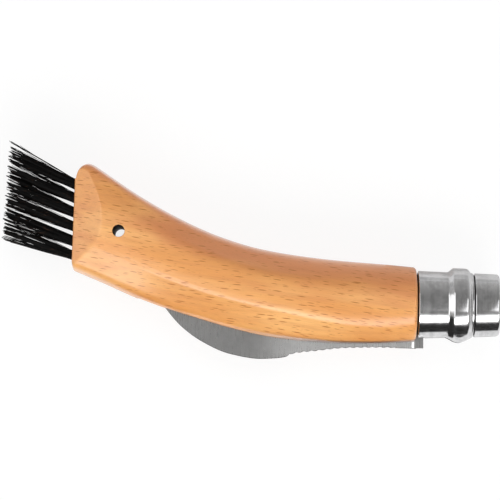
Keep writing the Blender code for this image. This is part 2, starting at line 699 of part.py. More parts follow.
def make_blade():
    bm = prism(tang_outline(), -BLADE_THICKNESS / 2, BLADE_THICKNESS / 2)
    blade = add_object("blade", bm, blade_steel)
    boolean(blade, make_blade_grind(), "UNION")
    return blade


# Brush

def end_face_span():
    """Foot and top of the flat end face that the tufts stand in."""
    low = belly_edge(HANDLE_END)
    high = back_edge(HANDLE_END + end_face_lean(BACK_RISE - BELLY_RISE))
    return low, high


def tuft_frame(row, column):
    """Frame at the mouth of a tuft hole, with Z outwards along the tuft."""
    low, high = end_face_span()
    radius = hole_radius()
    bottom = low + BRUSH_BELLY_MARGIN + radius
    top = high - BRUSH_BACK_MARGIN - radius
    side = END_FACE_THICKNESS / 2 - BRUSH_SIDE_MARGIN - radius
    up = row / (TUFT_ROWS - 1)
    across = 2 * column / (TUFT_COLUMNS - 1) - 1
    y = bottom + (top - bottom) * up
    mouth = Vector((HANDLE_END + end_face_lean(y - low), y, side * across))
    rise = math.radians(TUFT_RISE_DEG + ROW_FAN_DEG * (up - 0.5))
    fan = math.radians(COLUMN_FAN_DEG / 2 * across)
    outward = Vector((-math.cos(rise) * math.cos(fan), math.sin(rise) * math.cos(fan), math.sin(fan)))
    aside = Vector((0, 0, 1)).cross(outward).normalized()
    upward = outward.cross(aside)
    turn = Matrix((aside, upward, outward)).transposed().to_4x4()
    return Matrix.Translation(mouth) @ turn


def hole_radius():
    return TUFT_DIAMETER / 2 + FIT_GAP


def trim_length(frame, offset):
    """Length along a tuft, from its mouth, to the flat trim of the whole brush."""
    low, high = end_face_span()
    tilt = math.radians(BRISTLE_TRIM_TILT_DEG)
    rise = math.radians(TUFT_RISE_DEG)
    middle = Vector((HANDLE_END + end_face_lean((high - low) / 2), (low + high) / 2, 0))
    trim_point = middle + Vector((-math.cos(rise), math.sin(rise), 0)) * BRISTLE_LENGTH
    normal = Vector((-math.cos(tilt), math.sin(tilt), 0))
    start = frame @ Vector((offset[0], offset[1], 0))
    outward = frame.to_3x3() @ Vector((0, 0, 1))
    return (trim_point - start).dot(normal) / outward.dot(normal)


def strand_offsets(turn):
    """Places of the strands across a tuft, on rings, as points of a unit disc."""
    places = []
    for count, ring_share in STRAND_RING_SHARES:
        for i in range(count):
            angle = 2 * math.pi * (i / count + turn)
            places.append((ring_share * math.cos(angle), ring_share * math.sin(angle)))
    return places


def make_strands(frame, chance):
    """All the free bristles of one tuft, rooted in its plug and fanning out to the trim."""
    bm = bmesh.new()
    root_radius = TUFT_DIAMETER / 2 - 2 * BRISTLE_RADIUS
    spread_radius = root_radius * BRISTLE_SPREAD_SHARE
    for across, up in strand_offsets(chance.random()):
        tip_offset = (across * spread_radius, up * spread_radius)
        length = trim_length(frame, tip_offset) - BRISTLE_UNEVENNESS * chance.random()
        sections = []
        for share in STRAND_STATION_SHARES:
            z = -PLUG_RECESS - BRISTLE_ROOTING + (length + PLUG_RECESS + BRISTLE_ROOTING) * share
            radius = root_radius + (spread_radius - root_radius) * share ** SPREAD_POWER
            thickness = BRISTLE_RADIUS * (1 - (1 - BRISTLE_TIP_SHARE) * share)
            centre = Vector((across * radius, up * radius, z))
            sections.append([frame @ (centre + thickness * Vector((math.cos(a), math.sin(a), 0)))
                             for a in (2 * math.pi * side / STRAND_SIDES for side in range(STRAND_SIDES))])
        append_bmesh(bm, loft(sections))
    return bm


def make_tuft(row, column, chance, holes):
    """One tuft: bristles bent round an anchor, their folded root drawn as one plug in its hole."""
    number = f"r{row + 1}_c{column + 1}"
    frame = tuft_frame(row, column)
    add_cutter("tuft_hole_" + number, cylinder(hole_radius(), -TUFT_DEPTH, CUT_OVERRUN, HOLE_STEPS, frame), holes)
    seat = -TUFT_DEPTH + FIT_GAP
    plug = cylinder(TUFT_DIAMETER / 2, seat, -PLUG_RECESS, PLUG_STEPS, frame)
    tuft = add_object("tuft_" + number, plug, dark_bristle)
    notch = (TUFT_DIAMETER + 2 * CUT_OVERRUN, ANCHOR_THICKNESS + 2 * FIT_GAP, ANCHOR_HEIGHT + FIT_GAP + CUT_OVERRUN)
    notch_middle = (0, 0, seat + ANCHOR_HEIGHT + FIT_GAP - notch[2] / 2)
    boolean(tuft, add_cutter("tuft_notch_" + number, block(notch, notch_middle, frame)))
    boolean(tuft, add_cutter("strands_" + number, make_strands(frame, chance)), "UNION")
    plate = (TUFT_DIAMETER, ANCHOR_THICKNESS, ANCHOR_HEIGHT)
    add_object("anchor_" + number, block(plate, (0, 0, seat + ANCHOR_HEIGHT / 2), frame), anchor_wire)


def make_brush(holes):
    chance = random.Random(4)
    for row in range(TUFT_ROWS):
        for column in range(TUFT_COLUMNS):
            make_tuft(row, column, chance, holes)


# Assembly

def box_of_parts():
    """Lowest and highest corners of the pieces as modelled."""
    bpy.context.view_layer.update()
    depsgraph = bpy.context.evaluated_depsgraph_get()
    corners = []
    for item in knife_parts.objects:
        if item.type == "MESH":
            evaluated = item.evaluated_get(depsgraph)
            corners += [evaluated.matrix_world @ vert.co for vert in evaluated.data.vertices]
    low = Vector([min(corner[axis] for corner in corners) for axis in range(3)])
    high = Vector([max(corner[axis] for corner in corners) for axis in range(3)])
    return low, high


def build_knife():
    handle = make_handle()
    ferrule = make_ferrule()
    ring = make_ring()
    blade = make_blade()
    make_pin()

    slot = add_cutter("blade_slot_cutter", prism(slot_outline(), -SLOT_WIDTH / 2, SLOT_WIDTH / 2))
    reach = HALF_THICKNESS + CUT_OVERRUN
    pin_hole = add_cutter("pin_hole_cutter", cylinder(PIN_RADIUS + FIT_GAP, -reach, reach, HOLE_STEPS * 2))
    holes = new_collection("tuft_hole_cutters", cutters)
    make_brush(holes)

    boolean(handle, slot)
    boolean(handle, pin_hole)
    boolean(handle, make_lanyard_cutter())
    boolean(handle, holes)
    boolean(ferrule, make_ferrule_slot())
    boolean(ferrule, pin_hole)
    boolean(ring, make_lock_notch())
    boolean(blade, pin_hole)
    boolean(blade, make_nail_nick())

    low, high = box_of_parts()
    knife.location = (-(low.x + high.x) / 2, -(low.y + high.y) / 2, -low.z)


build_knife()
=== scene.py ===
"""Looks of the folding mushroom knife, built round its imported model.

Units are metres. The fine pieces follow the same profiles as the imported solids. They are modelled round
the blade's pivot, with +X along the collar's axis to its open front, +Y towards the handle's back and Z along
the pivot pin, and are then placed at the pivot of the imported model.
"""
import json
import math
import random

import bmesh
import bpy
from mathutils import Matrix, Vector


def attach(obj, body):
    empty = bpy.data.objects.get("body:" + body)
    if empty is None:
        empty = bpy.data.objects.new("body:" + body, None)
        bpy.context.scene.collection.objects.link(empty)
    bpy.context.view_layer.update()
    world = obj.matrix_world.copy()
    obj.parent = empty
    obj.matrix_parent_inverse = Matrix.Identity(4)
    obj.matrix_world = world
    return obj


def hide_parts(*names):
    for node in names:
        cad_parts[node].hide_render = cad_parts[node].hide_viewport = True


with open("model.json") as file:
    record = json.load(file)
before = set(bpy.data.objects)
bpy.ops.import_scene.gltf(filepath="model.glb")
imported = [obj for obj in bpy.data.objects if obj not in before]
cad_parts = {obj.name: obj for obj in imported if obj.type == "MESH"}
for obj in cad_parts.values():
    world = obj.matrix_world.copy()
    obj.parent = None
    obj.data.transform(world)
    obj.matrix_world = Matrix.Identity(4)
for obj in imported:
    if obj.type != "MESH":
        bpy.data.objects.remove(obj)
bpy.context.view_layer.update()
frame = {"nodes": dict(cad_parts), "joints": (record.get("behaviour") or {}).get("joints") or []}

HINGE = next(joint for joint in frame["joints"] if joint["name"] == "blade_hinge")
PIVOT = Vector(HINGE["pos_m"])

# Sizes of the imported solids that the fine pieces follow
FIT_GAP = 0.0003
CUT_OVERRUN = 0.0030
COLLAR_FRONT = 0.0108
COLLAR_LENGTH = 0.0236
COLLAR_BACK_RADIUS = 0.00985
COLLAR_FRONT_RADIUS = 0.00900
COLLAR_EDGE_ROUND = 0.00030
FERRULE_BAND = 0.0073
FERRULE_FRONT_ROUND = 0.0009
FERRULE_WALL = 0.0006
RING_WALL = 0.0008
RING_SHOULDER_GAP = 0.0005
RING_SLOT_WIDTH = 0.0034
BEAD_RISE = 0.00126
BEAD_WIDTH = 0.0070
BEAD_SETBACK = 0.0040
TAB_RISE = 0.00165
TAB_WIDTH = 0.0080
TAB_SETBACK = 0.0040
TAB_ARC_DEG = 24.0
PINCH_POWER = 0.8
LOCK_TURN_DEG = 45.0
LOCK_NOTCH_DEPTH = 0.0022
BEAD_PROFILE_SHARES = ((-1.0, 0.0), (-0.94, 0.06), (-0.86, 0.22), (-0.78, 0.405), (-0.70, 0.59),
                       (-0.62, 0.775), (-0.55, 0.91), (-0.45, 0.985), (0.0, 1.0),
                       (0.55, 0.97), (0.76, 0.68), (0.89, 0.22), (1.0, 0.0))
TAB_PROFILE_SHARES = ((-1.0, 0.0), (-0.70, 0.36), (-0.38, 0.80), (0.0, 1.0),
                      (0.35, 0.80), (0.72, 0.42), (1.0, 0.0))
PIN_RADIUS = 0.00125
PIN_HEAD_RADIUS = 0.0015
PIN_HEAD_HEIGHT = 0.00042
HANDLE_LENGTH = 0.0995
HANDLE_THICKNESS = 0.0224
HANDLE_END_RADIUS = 0.01080
HANDLE_SHOULDER_ROUND = 0.0010
BACK_RISE = 0.0329
BELLY_RISE = 0.0200
BACK_EDGE_SHARES = ((0.0, 0.0), (0.10, 0.027), (0.22, 0.054), (0.337, 0.093), (0.453, 0.152),
                    (0.57, 0.256), (0.687, 0.410), (0.80, 0.598), (0.92, 0.838), (1.0, 1.0))
BELLY_EDGE_SHARES = ((0.0, 0.0), (0.13, -0.036), (0.20, -0.038), (0.305, -0.017), (0.41, 0.033),
                     (0.537, 0.163), (0.623, 0.286), (0.725, 0.442), (0.80, 0.577), (0.92, 0.836),
                     (1.0, 1.0))
UPPER_CREASE_SHARES = ((0.0, 0.34), (0.3, 0.38), (0.53, 0.42), (1.0, 0.43))
LOWER_CREASE_SHARES = ((0.0, -0.69), (0.17, -0.60), (0.235, -0.53), (0.32, -0.44), (0.40, -0.367),
                       (0.50, -0.355), (0.65, -0.385), (0.80, -0.385), (0.89, -0.40), (1.0, -0.45))
LOWER_CREASE_WIDTH_SHARES = ((0.0, 0.80), (0.17, 0.845), (0.31, 0.87), (0.45, 0.885), (0.77, 0.885),
                             (0.92, 0.90), (1.0, 0.915))
BACK_WIDTH_SHARES = ((0.0, 0.30), (0.5, 0.36), (0.75, 0.58), (0.92, 0.74), (1.0, 0.76))
BELLY_WIDTH_SHARES = ((0.0, 0.30), (0.5, 0.28), (0.75, 0.38), (0.92, 0.54), (1.0, 0.58))
SIDE_FLAT_SHARE = 0.12
SIDE_CURVE_POWER = 2.2
FACETED_SHARES = ((0.0, 0.0), (0.07, 0.30), (0.2, 0.45), (0.4, 0.78), (0.6, 1.0), (1.0, 1.0))
SECTION_CROWN_SHARE = 0.06
CORNER_ROUND_SHARE = 0.17
UPPER_ROUND_SHARE = 0.22
CREASE_ROUND_SHARE = 0.06
END_ROUND_LIMIT_SHARE = 0.985
END_FACE_TILT_DEG = 1.65
END_FACE_THICKNESS = 0.0134
END_FACET_LENGTH = 0.0085
BACK_END_ROUND_LENGTH = 0.0054
BACK_END_ROUND_DROP = 0.0084
BELLY_END_ROUND = 0.0008
LANYARD_RADIUS = 0.00175
LANYARD_CHAMFER = 0.00025
LANYARD_FROM_END = 0.0136
LANYARD_HEIGHT_SHARE = 0.536
BLADE_REACH = 0.0924
BLADE_DEPTH = 0.0162
BLADE_THICKNESS = 0.00165
SPINE_THICKNESS = 0.00145
EDGE_THICKNESS = 0.00020
TIP_THICKNESS_SHARE = 0.35
TIP_BLUNTNESS = 0.0004
BLOCK_LENGTH = 0.0027
BLOCK_DEPTH = 0.0126
HEEL_SETBACK = 0.0016
HEEL_STEP = 0.0006
SLOT_CLEARANCE = 0.00035
CEILING_CLEARANCE = 0.0010
SPINE_SHARES = ((0.140, -0.786), (0.26, -0.773), (0.36, -0.785), (0.45, -0.838), (0.541, -0.915),
                (0.549, -0.947), (0.60, -0.983), (0.63, -0.989), (0.724, -0.907), (0.818, -0.673),
                (0.881, -0.407), (0.929, -0.096), (0.965, 0.205), (1.0, 0.460))
EDGE_SHARES = ((0.140, 0.410), (0.22, 0.295), (0.35, 0.185), (0.50, 0.115), (0.64, 0.100),
               (0.78, 0.165), (0.90, 0.295), (1.0, 0.478))
GRIND_SHARES = ((0.0, 1.0), (0.45, 0.84), (1.0, 0.0))
SERRATION_COUNT = 14
SERRATION_PITCH = 0.0022
SERRATION_DEPTH = 0.00032
SERRATION_POWER = 0.9
SERRATION_SETBACK = 0.0192
NICK_SETBACK = 0.0620
NICK_WHEEL_RADIUS = 0.0360
NICK_WIDTH = 0.0016
NICK_DEPTH = 0.00045
NICK_FROM_SPINE = 0.0027
NICK_LEAN_DEG = 24.0
TUFT_ROWS = 6
TUFT_COLUMNS = 3
TUFT_DIAMETER = 0.0024
TUFT_DEPTH = 0.0080
TUFT_RISE_DEG = 22.0
ROW_FAN_DEG = 5.0
COLUMN_FAN_DEG = 6.0
BRUSH_SIDE_MARGIN = 0.0011
BRUSH_BACK_MARGIN = 0.0009
BRUSH_BELLY_MARGIN = 0.0022
BRISTLE_LENGTH = 0.0216
BRISTLE_TRIM_TILT_DEG = 4.1
ANCHOR_HEIGHT = 0.0016

# Fine sizes that only the looks need
EDGE_EASE = 0.00035
SLOT_EASE = 0.00045
FACET_EASE = 0.00022
SPINE_CHAMFER = 0.00014
PLUNGE_LENGTH = 0.00045
PLUNGE_SHARE = 0.98
HOLE_CHAMFER = 0.00012
LANYARD_RIM_DEG = 80
WELD_DISTANCE = 0.000001

# Bristles. A spread runs down the rows and a depth along the pin's axis
BRUSH_SEED = 40
HAIRS_PER_TUFT = 62
HAIR_SIDES = 3
HAIR_STATION_SHARES = (0.0, 0.28, 0.30, 0.45, 0.60, 0.74, 0.87, 1.0)
HAIR_RADIUS = 0.000092
HAIR_TAPER = 0.3
HAIR_ROOT_SPREAD = 0.00128
HAIR_TIP_SPREAD = 0.00232
HAIR_TIP_DEPTH = 0.00130
HAIR_TIP_JITTER = 0.00006
HAIR_BEND = 0.00022
HAIR_UNEVENNESS = 0.00060
CLUMPS_PER_TUFT = 7
CLUMP_TURN = 2.4
CLUMP_PULL = 0.90
CLUMP_JITTER = 0.00046
STRAY_SHARE = 0.07
STRAY_JITTER = 0.00080
SHORT_SHARE = 0.12
SHORT_LOSS = 0.0030

# Lifted bristles. Each pair is for the bottom row and the top row of the brush
LIFTED_HAIRS = (6, 2)
LIFTED_RISES = (0.00025, 0.00138)
LIFTED_LEAST_SHARES = (0.0, 0.45)
LIFTED_LOSSES = (4.0 * HAIR_UNEVENNESS, 1.5 * HAIR_UNEVENNESS)
LIFTED_ROOT_OUT = 0.8
LIFTED_ROOT_OVER = 0.5

# Steps of rounds and curves
SMOOTH_DEG = 32
BLADE_SMOOTH_DEG = 20
BRISTLE_SMOOTH_DEG = 80
BODY_STATION = 0.0011
END_STATION = 0.00022
END_RUN_IN = 0.0014
LEAN_PASSES = 4
ROUND_STEPS = 5
CORNER_STEPS = 7
SHOULDER_STEPS = 8
UPPER_ROUND_STEPS = 12
SIDE_STEPS = 16
CROWN_POINTS = 5
BEVEL_POINTS = 7
SIDE_FLAT_POINTS = 3
KEEL_POINTS = 9
SLOT_RIM_START = 1.6
SLOT_RIM_STEPS = 3
SLOT_RIM_SHARES = (1.25, 1.0, 0.8, 0.6, 0.42, 0.27, 0.14, 0.05, -0.1)
SLOT_END_STEPS = 24
LANYARD_STEPS = 64
TUFT_STEPS = 32
PIN_STEPS = 48
PIN_HEAD_STEPS = 6
TAB_STEPS = 16
RING_TURN_STEPS = 120
RING_OUTER_STEPS = 76
RING_INNER_STEPS = 60
NOTCH_STEPS = 8
FERRULE_ROUND_STEPS = 12
FERRULE_STEPS = 180
TANG_STEPS = 72
HEEL_STEPS = 6
SERRATION_STEPS = 14
HOOK_STEPS = 60
NICK_STEPS = 160

# Colours and sizes of the wood's figure, and colours of painted shade on the wood
GRAIN_SLANT_DEG = 8.0
GRAIN_SWAY = 0.0045
GRAIN_DEPTH = 0.00004
RAY_CELL = (0.0038, 0.00088, 0.0022)
RAY_HALF = (0.0017, 0.00017, 0.0013)
SMALL_RAY_CELL = (0.0023, 0.0007, 0.0015)
SMALL_RAY_HALF = (0.0006, 0.00009, 0.0006)
WOOD_DEEP = (0.82, 0.350, 0.092, 1)
WOOD_PALE = (0.97, 0.520, 0.178, 1)
# Random blush colour, also painted on the side towards the handle's back as shade
WOOD_BLUSH_AND_SHADE = (0.69, 0.225, 0.074, 1)
WOOD_BAND = (0.64, 0.23, 0.070, 1)
WOOD_FIBRE = (0.50, 0.19, 0.055, 1)
RAY_BROWN = (0.46, 0.135, 0.010, 1)
SMALL_RAY_BROWN = (0.46, 0.15, 0.030, 1)
# Painted shade beside the blade slot, and hole walls painted nearly black as shade
SLOT_SHADE_BROWN = (0.060, 0.022, 0.009, 1)
HOLE_SHADE_DEEP = (0.030, 0.012, 0.006, 1)
HOLE_SHADE_PALE = (0.10, 0.040, 0.016, 1)

# Other colours
COLLAR_GREY = (0.68, 0.68, 0.69)
BLADE_GREY = (0.62, 0.62, 0.62)
PIN_GREY = (0.58, 0.57, 0.55)
WIRE_GREY = (0.45, 0.45, 0.44)
# Painted shade on the ferrule's groove under the ring
GAP_SHADE_BLACK = (0.010, 0.008, 0.007, 1)
HAIR_BLACK = (0.002, 0.0018, 0.0018, 1)
HAIR_BROWN = (0.060, 0.026, 0.014, 1)

# Studio
FLOOR_STEPS = 64
FLOOR_RADIUS = 30.0
FLOOR_PALE = (0.86, 0.86, 0.86, 1)
FLOOR_WHITE = 1.06
FLOOR_WHITE_SHARE = 0.80
STUDIO_WHITE = (1.0, 0.99, 0.97, 1)
WALL_LEVEL = 0.52
CEILING_LEVEL = 0.27
CARD_LEVEL = 0.0005
CARD_HEIGHT = 0.24
VIEW_CENTRE = Vector((-0.0614438, 0.0155009, 0))

# Places that follow from the sizes
RING_FRONT = COLLAR_FRONT - FERRULE_BAND - FIT_GAP
RING_BACK = COLLAR_FRONT - COLLAR_LENGTH
SHOULDER = RING_BACK - RING_SHOULDER_GAP
HANDLE_END = SHOULDER - HANDLE_LENGTH
HALF_THICKNESS = HANDLE_THICKNESS / 2
SLOT_WIDTH = BLADE_THICKNESS + 2 * SLOT_CLEARANCE


def collar_radius(x):
    """Outside radius of the collar's shared taper."""
    share = (COLLAR_FRONT - x) / COLLAR_LENGTH
    return COLLAR_FRONT_RADIUS + (COLLAR_BACK_RADIUS - COLLAR_FRONT_RADIUS) * share


def groove_radius(x):
    """Outside radius of the ferrule where the lock ring turns on it."""
    return collar_radius(x) - RING_WALL - FIT_GAP


BORE_RADIUS = groove_radius(RING_FRONT) - FERRULE_WALL
NECK_RADIUS = BORE_RADIUS - FIT_GAP
TANG_RADIUS = math.sqrt(BORE_RADIUS ** 2 - (BLADE_THICKNESS / 2) ** 2) - FIT_GAP
BLOCK_FRONT = -(COLLAR_FRONT + FIT_GAP)
BLOCK_BACK = BLOCK_FRONT - BLOCK_LENGTH
SLOT_CEILING = max(TANG_RADIUS, BLADE_DEPTH * EDGE_SHARES[-1][1]) + CEILING_CLEARANCE
TIP_RADIUS = math.hypot(BLADE_REACH, BLADE_DEPTH * EDGE_SHARES[-1][1])
SLOT_RADIUS = TIP_RADIUS + SLOT_CLEARANCE + FIT_GAP


def smooth_value(table, place):
    """Value at a place on the smooth curve through (place, value) pairs, without overshoot."""
    if place <= table[0][0]:
        return table[0][1]
    if place >= table[-1][0]:
        return table[-1][1]
    spans = [b[0] - a[0] for a, b in zip(table, table[1:])]
    slopes = [(b[1] - a[1]) / span for a, b, span in zip(table, table[1:], spans)]
    tangents = [slopes[0]]
    for before, after, left, right in zip(slopes, slopes[1:], spans, spans[1:]):
        if before * after <= 0:
            tangents.append(0.0)
        else:
            weights = (2 * right + left, right + 2 * left)
            tangents.append(sum(weights) / (weights[0] / before + weights[1] / after))
    tangents.append(slopes[-1])
    index = max(i for i, row in enumerate(table[:-1]) if row[0] <= place)
    span = spans[index]
    t = (place - table[index][0]) / span
    start, end = table[index][1], table[index + 1][1]
    return ((1 + 2 * t) * (1 - t) ** 2 * start + t * (1 - t) ** 2 * span * tangents[index]
            + t * t * (3 - 2 * t) * end + t * t * (t - 1) * span * tangents[index + 1])


def spaced(start, end, count, first=0):
    """Evenly spaced values from a start to an end, from the given step on."""
    return [start + (end - start) * i / count for i in range(first, count + 1)]


def quarter_round(steps, first=0, degrees=90):
    """Sine and cosine at each step of a quarter turn, or of fewer degrees, from the given step on."""
    angles = [math.radians(degrees * i / steps) for i in range(first, steps + 1)]
    return [(math.sin(angle), math.cos(angle)) for angle in angles]


def limited(share):
    """A share kept between none and all."""
    return min(max(share, 0.0), 1.0)


# Makers of pieces

def add_object(name, data):
    item = bpy.data.objects.new(name, data)
    bpy.context.scene.collection.objects.link(item)
    return item


def mesh_from(name, bm):
    mesh = bpy.data.meshes.new(name)
    bm.to_mesh(mesh)
    bm.free()
    return mesh


def new_piece(name, bm, material=None):
    """Object at the blade's pivot from a bmesh, with outward faces."""
    bmesh.ops.recalc_face_normals(bm, faces=bm.faces[:])
    if bm.calc_volume(signed=True) < 0:
        bmesh.ops.reverse_faces(bm, faces=bm.faces[:])
    item = add_object(name, mesh_from(name, bm))
    item.location = PIVOT
    if material:
        item.data.materials.append(material)
    return item


def cut(piece, cutters, operation="DIFFERENCE"):
    """Exact Boolean with some cutters, applied, after which the cutters are gone."""
    for cutter in cutters:
        modifier = piece.modifiers.new(cutter.name, "BOOLEAN")
        modifier.operation = operation
        modifier.solver = "EXACT"
        modifier.material_mode = "TRANSFER" if cutter.data.materials else "INDEX"
        modifier.object = cutter
    bpy.context.view_layer.update()
    evaluated = piece.evaluated_get(bpy.context.evaluated_depsgraph_get())
    mesh = bpy.data.meshes.new_from_object(evaluated)
    piece.modifiers.clear()
    piece.data = mesh
    for cutter in cutters:
        bpy.data.objects.remove(cutter, do_unlink=True)


def finish_piece(piece, body, nodes, smooth_deg=SMOOTH_DEG):
    """Smooth shading with crisp edges, then the ride on its body and the replaced nodes hidden."""
    piece.data.shade_smooth()
    piece.data.set_sharp_from_angle(angle=math.radians(smooth_deg))
    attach(piece, body)
    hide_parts(*nodes)


def turned(profile, axis, steps):
    """Solid of revolution of (place along the axis, radius) points."""
    bm = bmesh.new()
    turn_axis = Vector((1, 0, 0)) if axis == "X" else Vector((0, 0, 1))
    points = [(place, radius, 0) if axis == "X" else (radius, 0, place) for place, radius in profile]
    verts = [bm.verts.new(point) for point in points]
    edges = [bm.edges.new(pair) for pair in zip(verts, verts[1:])]
    if min(radius for place, radius in profile) > 0:
        edges.append(bm.edges.new((verts[-1], verts[0])))
    bmesh.ops.spin(bm, geom=verts + edges, cent=(0, 0, 0), axis=turn_axis, dvec=(0, 0, 0),
                   angle=2 * math.pi, steps=steps, use_duplicate=False)
    bmesh.ops.remove_doubles(bm, verts=bm.verts[:], dist=WELD_DISTANCE)
    return bm


def prism(outline, low, high):
    """Flat outline in X and Y, raised from Z = low to Z = high."""
    bm = bmesh.new()
    face = bm.faces.new([bm.verts.new((x, y, low)) for x, y in outline])
    raised = bmesh.ops.extrude_face_region(bm, geom=[face])
    moved = [v for v in raised["geom"] if isinstance(v, bmesh.types.BMVert)]
    bmesh.ops.translate(bm, verts=moved, vec=(0, 0, high - low))
    return bm


def loft(sections):
    """Closed skin over a run of point loops that all have the same number of points."""
    bm = bmesh.new()
    rows = [[bm.verts.new(point) for point in section] for section in sections]
    count = len(rows[0])
    for near, far in zip(rows, rows[1:]):
        for i in range(count):
            j = (i + 1) % count
            bm.faces.new((near[i], near[j], far[j], far[i]))
    bm.faces.new(rows[0])
    bm.faces.new(rows[-1])
    return bm


def arc(radius, start_deg, end_deg, steps):
    angles = [math.radians(angle) for angle in spaced(start_deg, end_deg, steps)]
    return [(radius * math.cos(angle), radius * math.sin(angle)) for angle in angles]


def both_ends(half):
    """A profile with its mirror image before it."""
    return [(-place, radius) for place, radius in reversed(half)] + half


def closed_loop(front):
    """Loop of points from the half outline on +Z and its mirror image."""
    return front + [(x, y, -z) for x, y, z in front[-2:0:-1]]


# Materials

class Nodes:
    """Short way to add and link shader nodes."""

    def __init__(self, owner):
        owner.use_nodes = True
        self.tree = owner.node_tree
        self.tree.nodes.clear()

    def add(self, kind, settings=None, **inputs):
        node = self.tree.nodes.new("ShaderNode" + kind)
        for name, value in (settings or {}).items():
            setattr(node, name, value)
        for name, value in inputs.items():
            self.put(node, name.replace("_", " "), value)
        return node

    def put(self, node, name, value):
        socket = node.inputs[int(name)] if name.isdigit() else node.inputs[name]
        if isinstance(value, bpy.types.NodeSocket):
            self.tree.links.new(value, socket)
        else:
            socket.default_value = value

    def operate(self, kind, operation, values):
        node = self.add(kind, {"operation": operation})
        for index, value in enumerate(values):
            self.put(node, str(index), value)
        return node.outputs

    def math(self, operation, *values):
        return self.operate("Math", operation, values)[0]

    def vector(self, operation, *values):
        return self.operate("VectorMath", operation, values)["Value" if operation == "LENGTH" else "Vector"]

    def split(self, vector):
        return self.add("SeparateXYZ", Vector=vector).outputs

    def scaled(self, coordinates, scale):
        return self.add("Mapping", Vector=coordinates, Scale=scale).outputs[0]

    def noise(self, coordinates, scale, detail=2.0, roughness=0.5):
        node = self.add("TexNoise", Vector=coordinates, Scale=scale, Detail=detail, Roughness=roughness)
        return node.outputs["Fac"]

    def remap(self, value, low, high, out_low=0.0, out_high=1.0):
        limits = {"From_Min": low, "From_Max": high, "To_Min": out_low, "To_Max": out_high}
        return self.add("MapRange", {"interpolation_type": "SMOOTHSTEP"}, Value=value, **limits).outputs[0]

    def mix(self, factor, first, second, blend="MIX"):
        node = self.add("Mix", {"data_type": "RGBA", "blend_type": blend})
        self.put(node, "0", factor)
        self.put(node, "6", first)
        self.put(node, "7", second)
        return node.outputs[2]

    def blend(self, share, first, second):
        shader = self.add("MixShader")
        self.put(shader, "0", share)
        self.put(shader, "1", first.outputs[0])
        self.put(shader, "2", second.outputs[0])
        return shader

    def surface(self, shader, kind="OutputMaterial"):
        self.tree.links.new(shader.outputs[0], self.add(kind).inputs["Surface"])


def new_material(name):
    """Empty material, its nodes and the object's own coordinates."""
    material = bpy.data.materials.new(name)
    n = Nodes(material)
    return material, n, n.add("TexCoord").outputs["Object"]


def ray_flecks(n, grain, cell, half, shrink):
    """Mask of short spindles along the grain: one in each cell, of the half sizes times shrink or more."""
    lattice = n.scaled(grain, tuple(1 / size for size in cell))
    rays = n.add("TexVoronoi", Vector=lattice, Scale=1.0)
    offset = n.vector("SUBTRACT", lattice, rays.outputs["Position"])
    distance = n.vector("LENGTH", n.scaled(offset, tuple(size / reach for size, reach in zip(cell, half))))
    chance = n.add("SeparateColor", Color=rays.outputs["Color"]).outputs[0]
    size = n.remap(chance, 0.0, 1.0, shrink, 1.0)
    return n.remap(n.math("DIVIDE", distance, size), 1.05, 0.45)


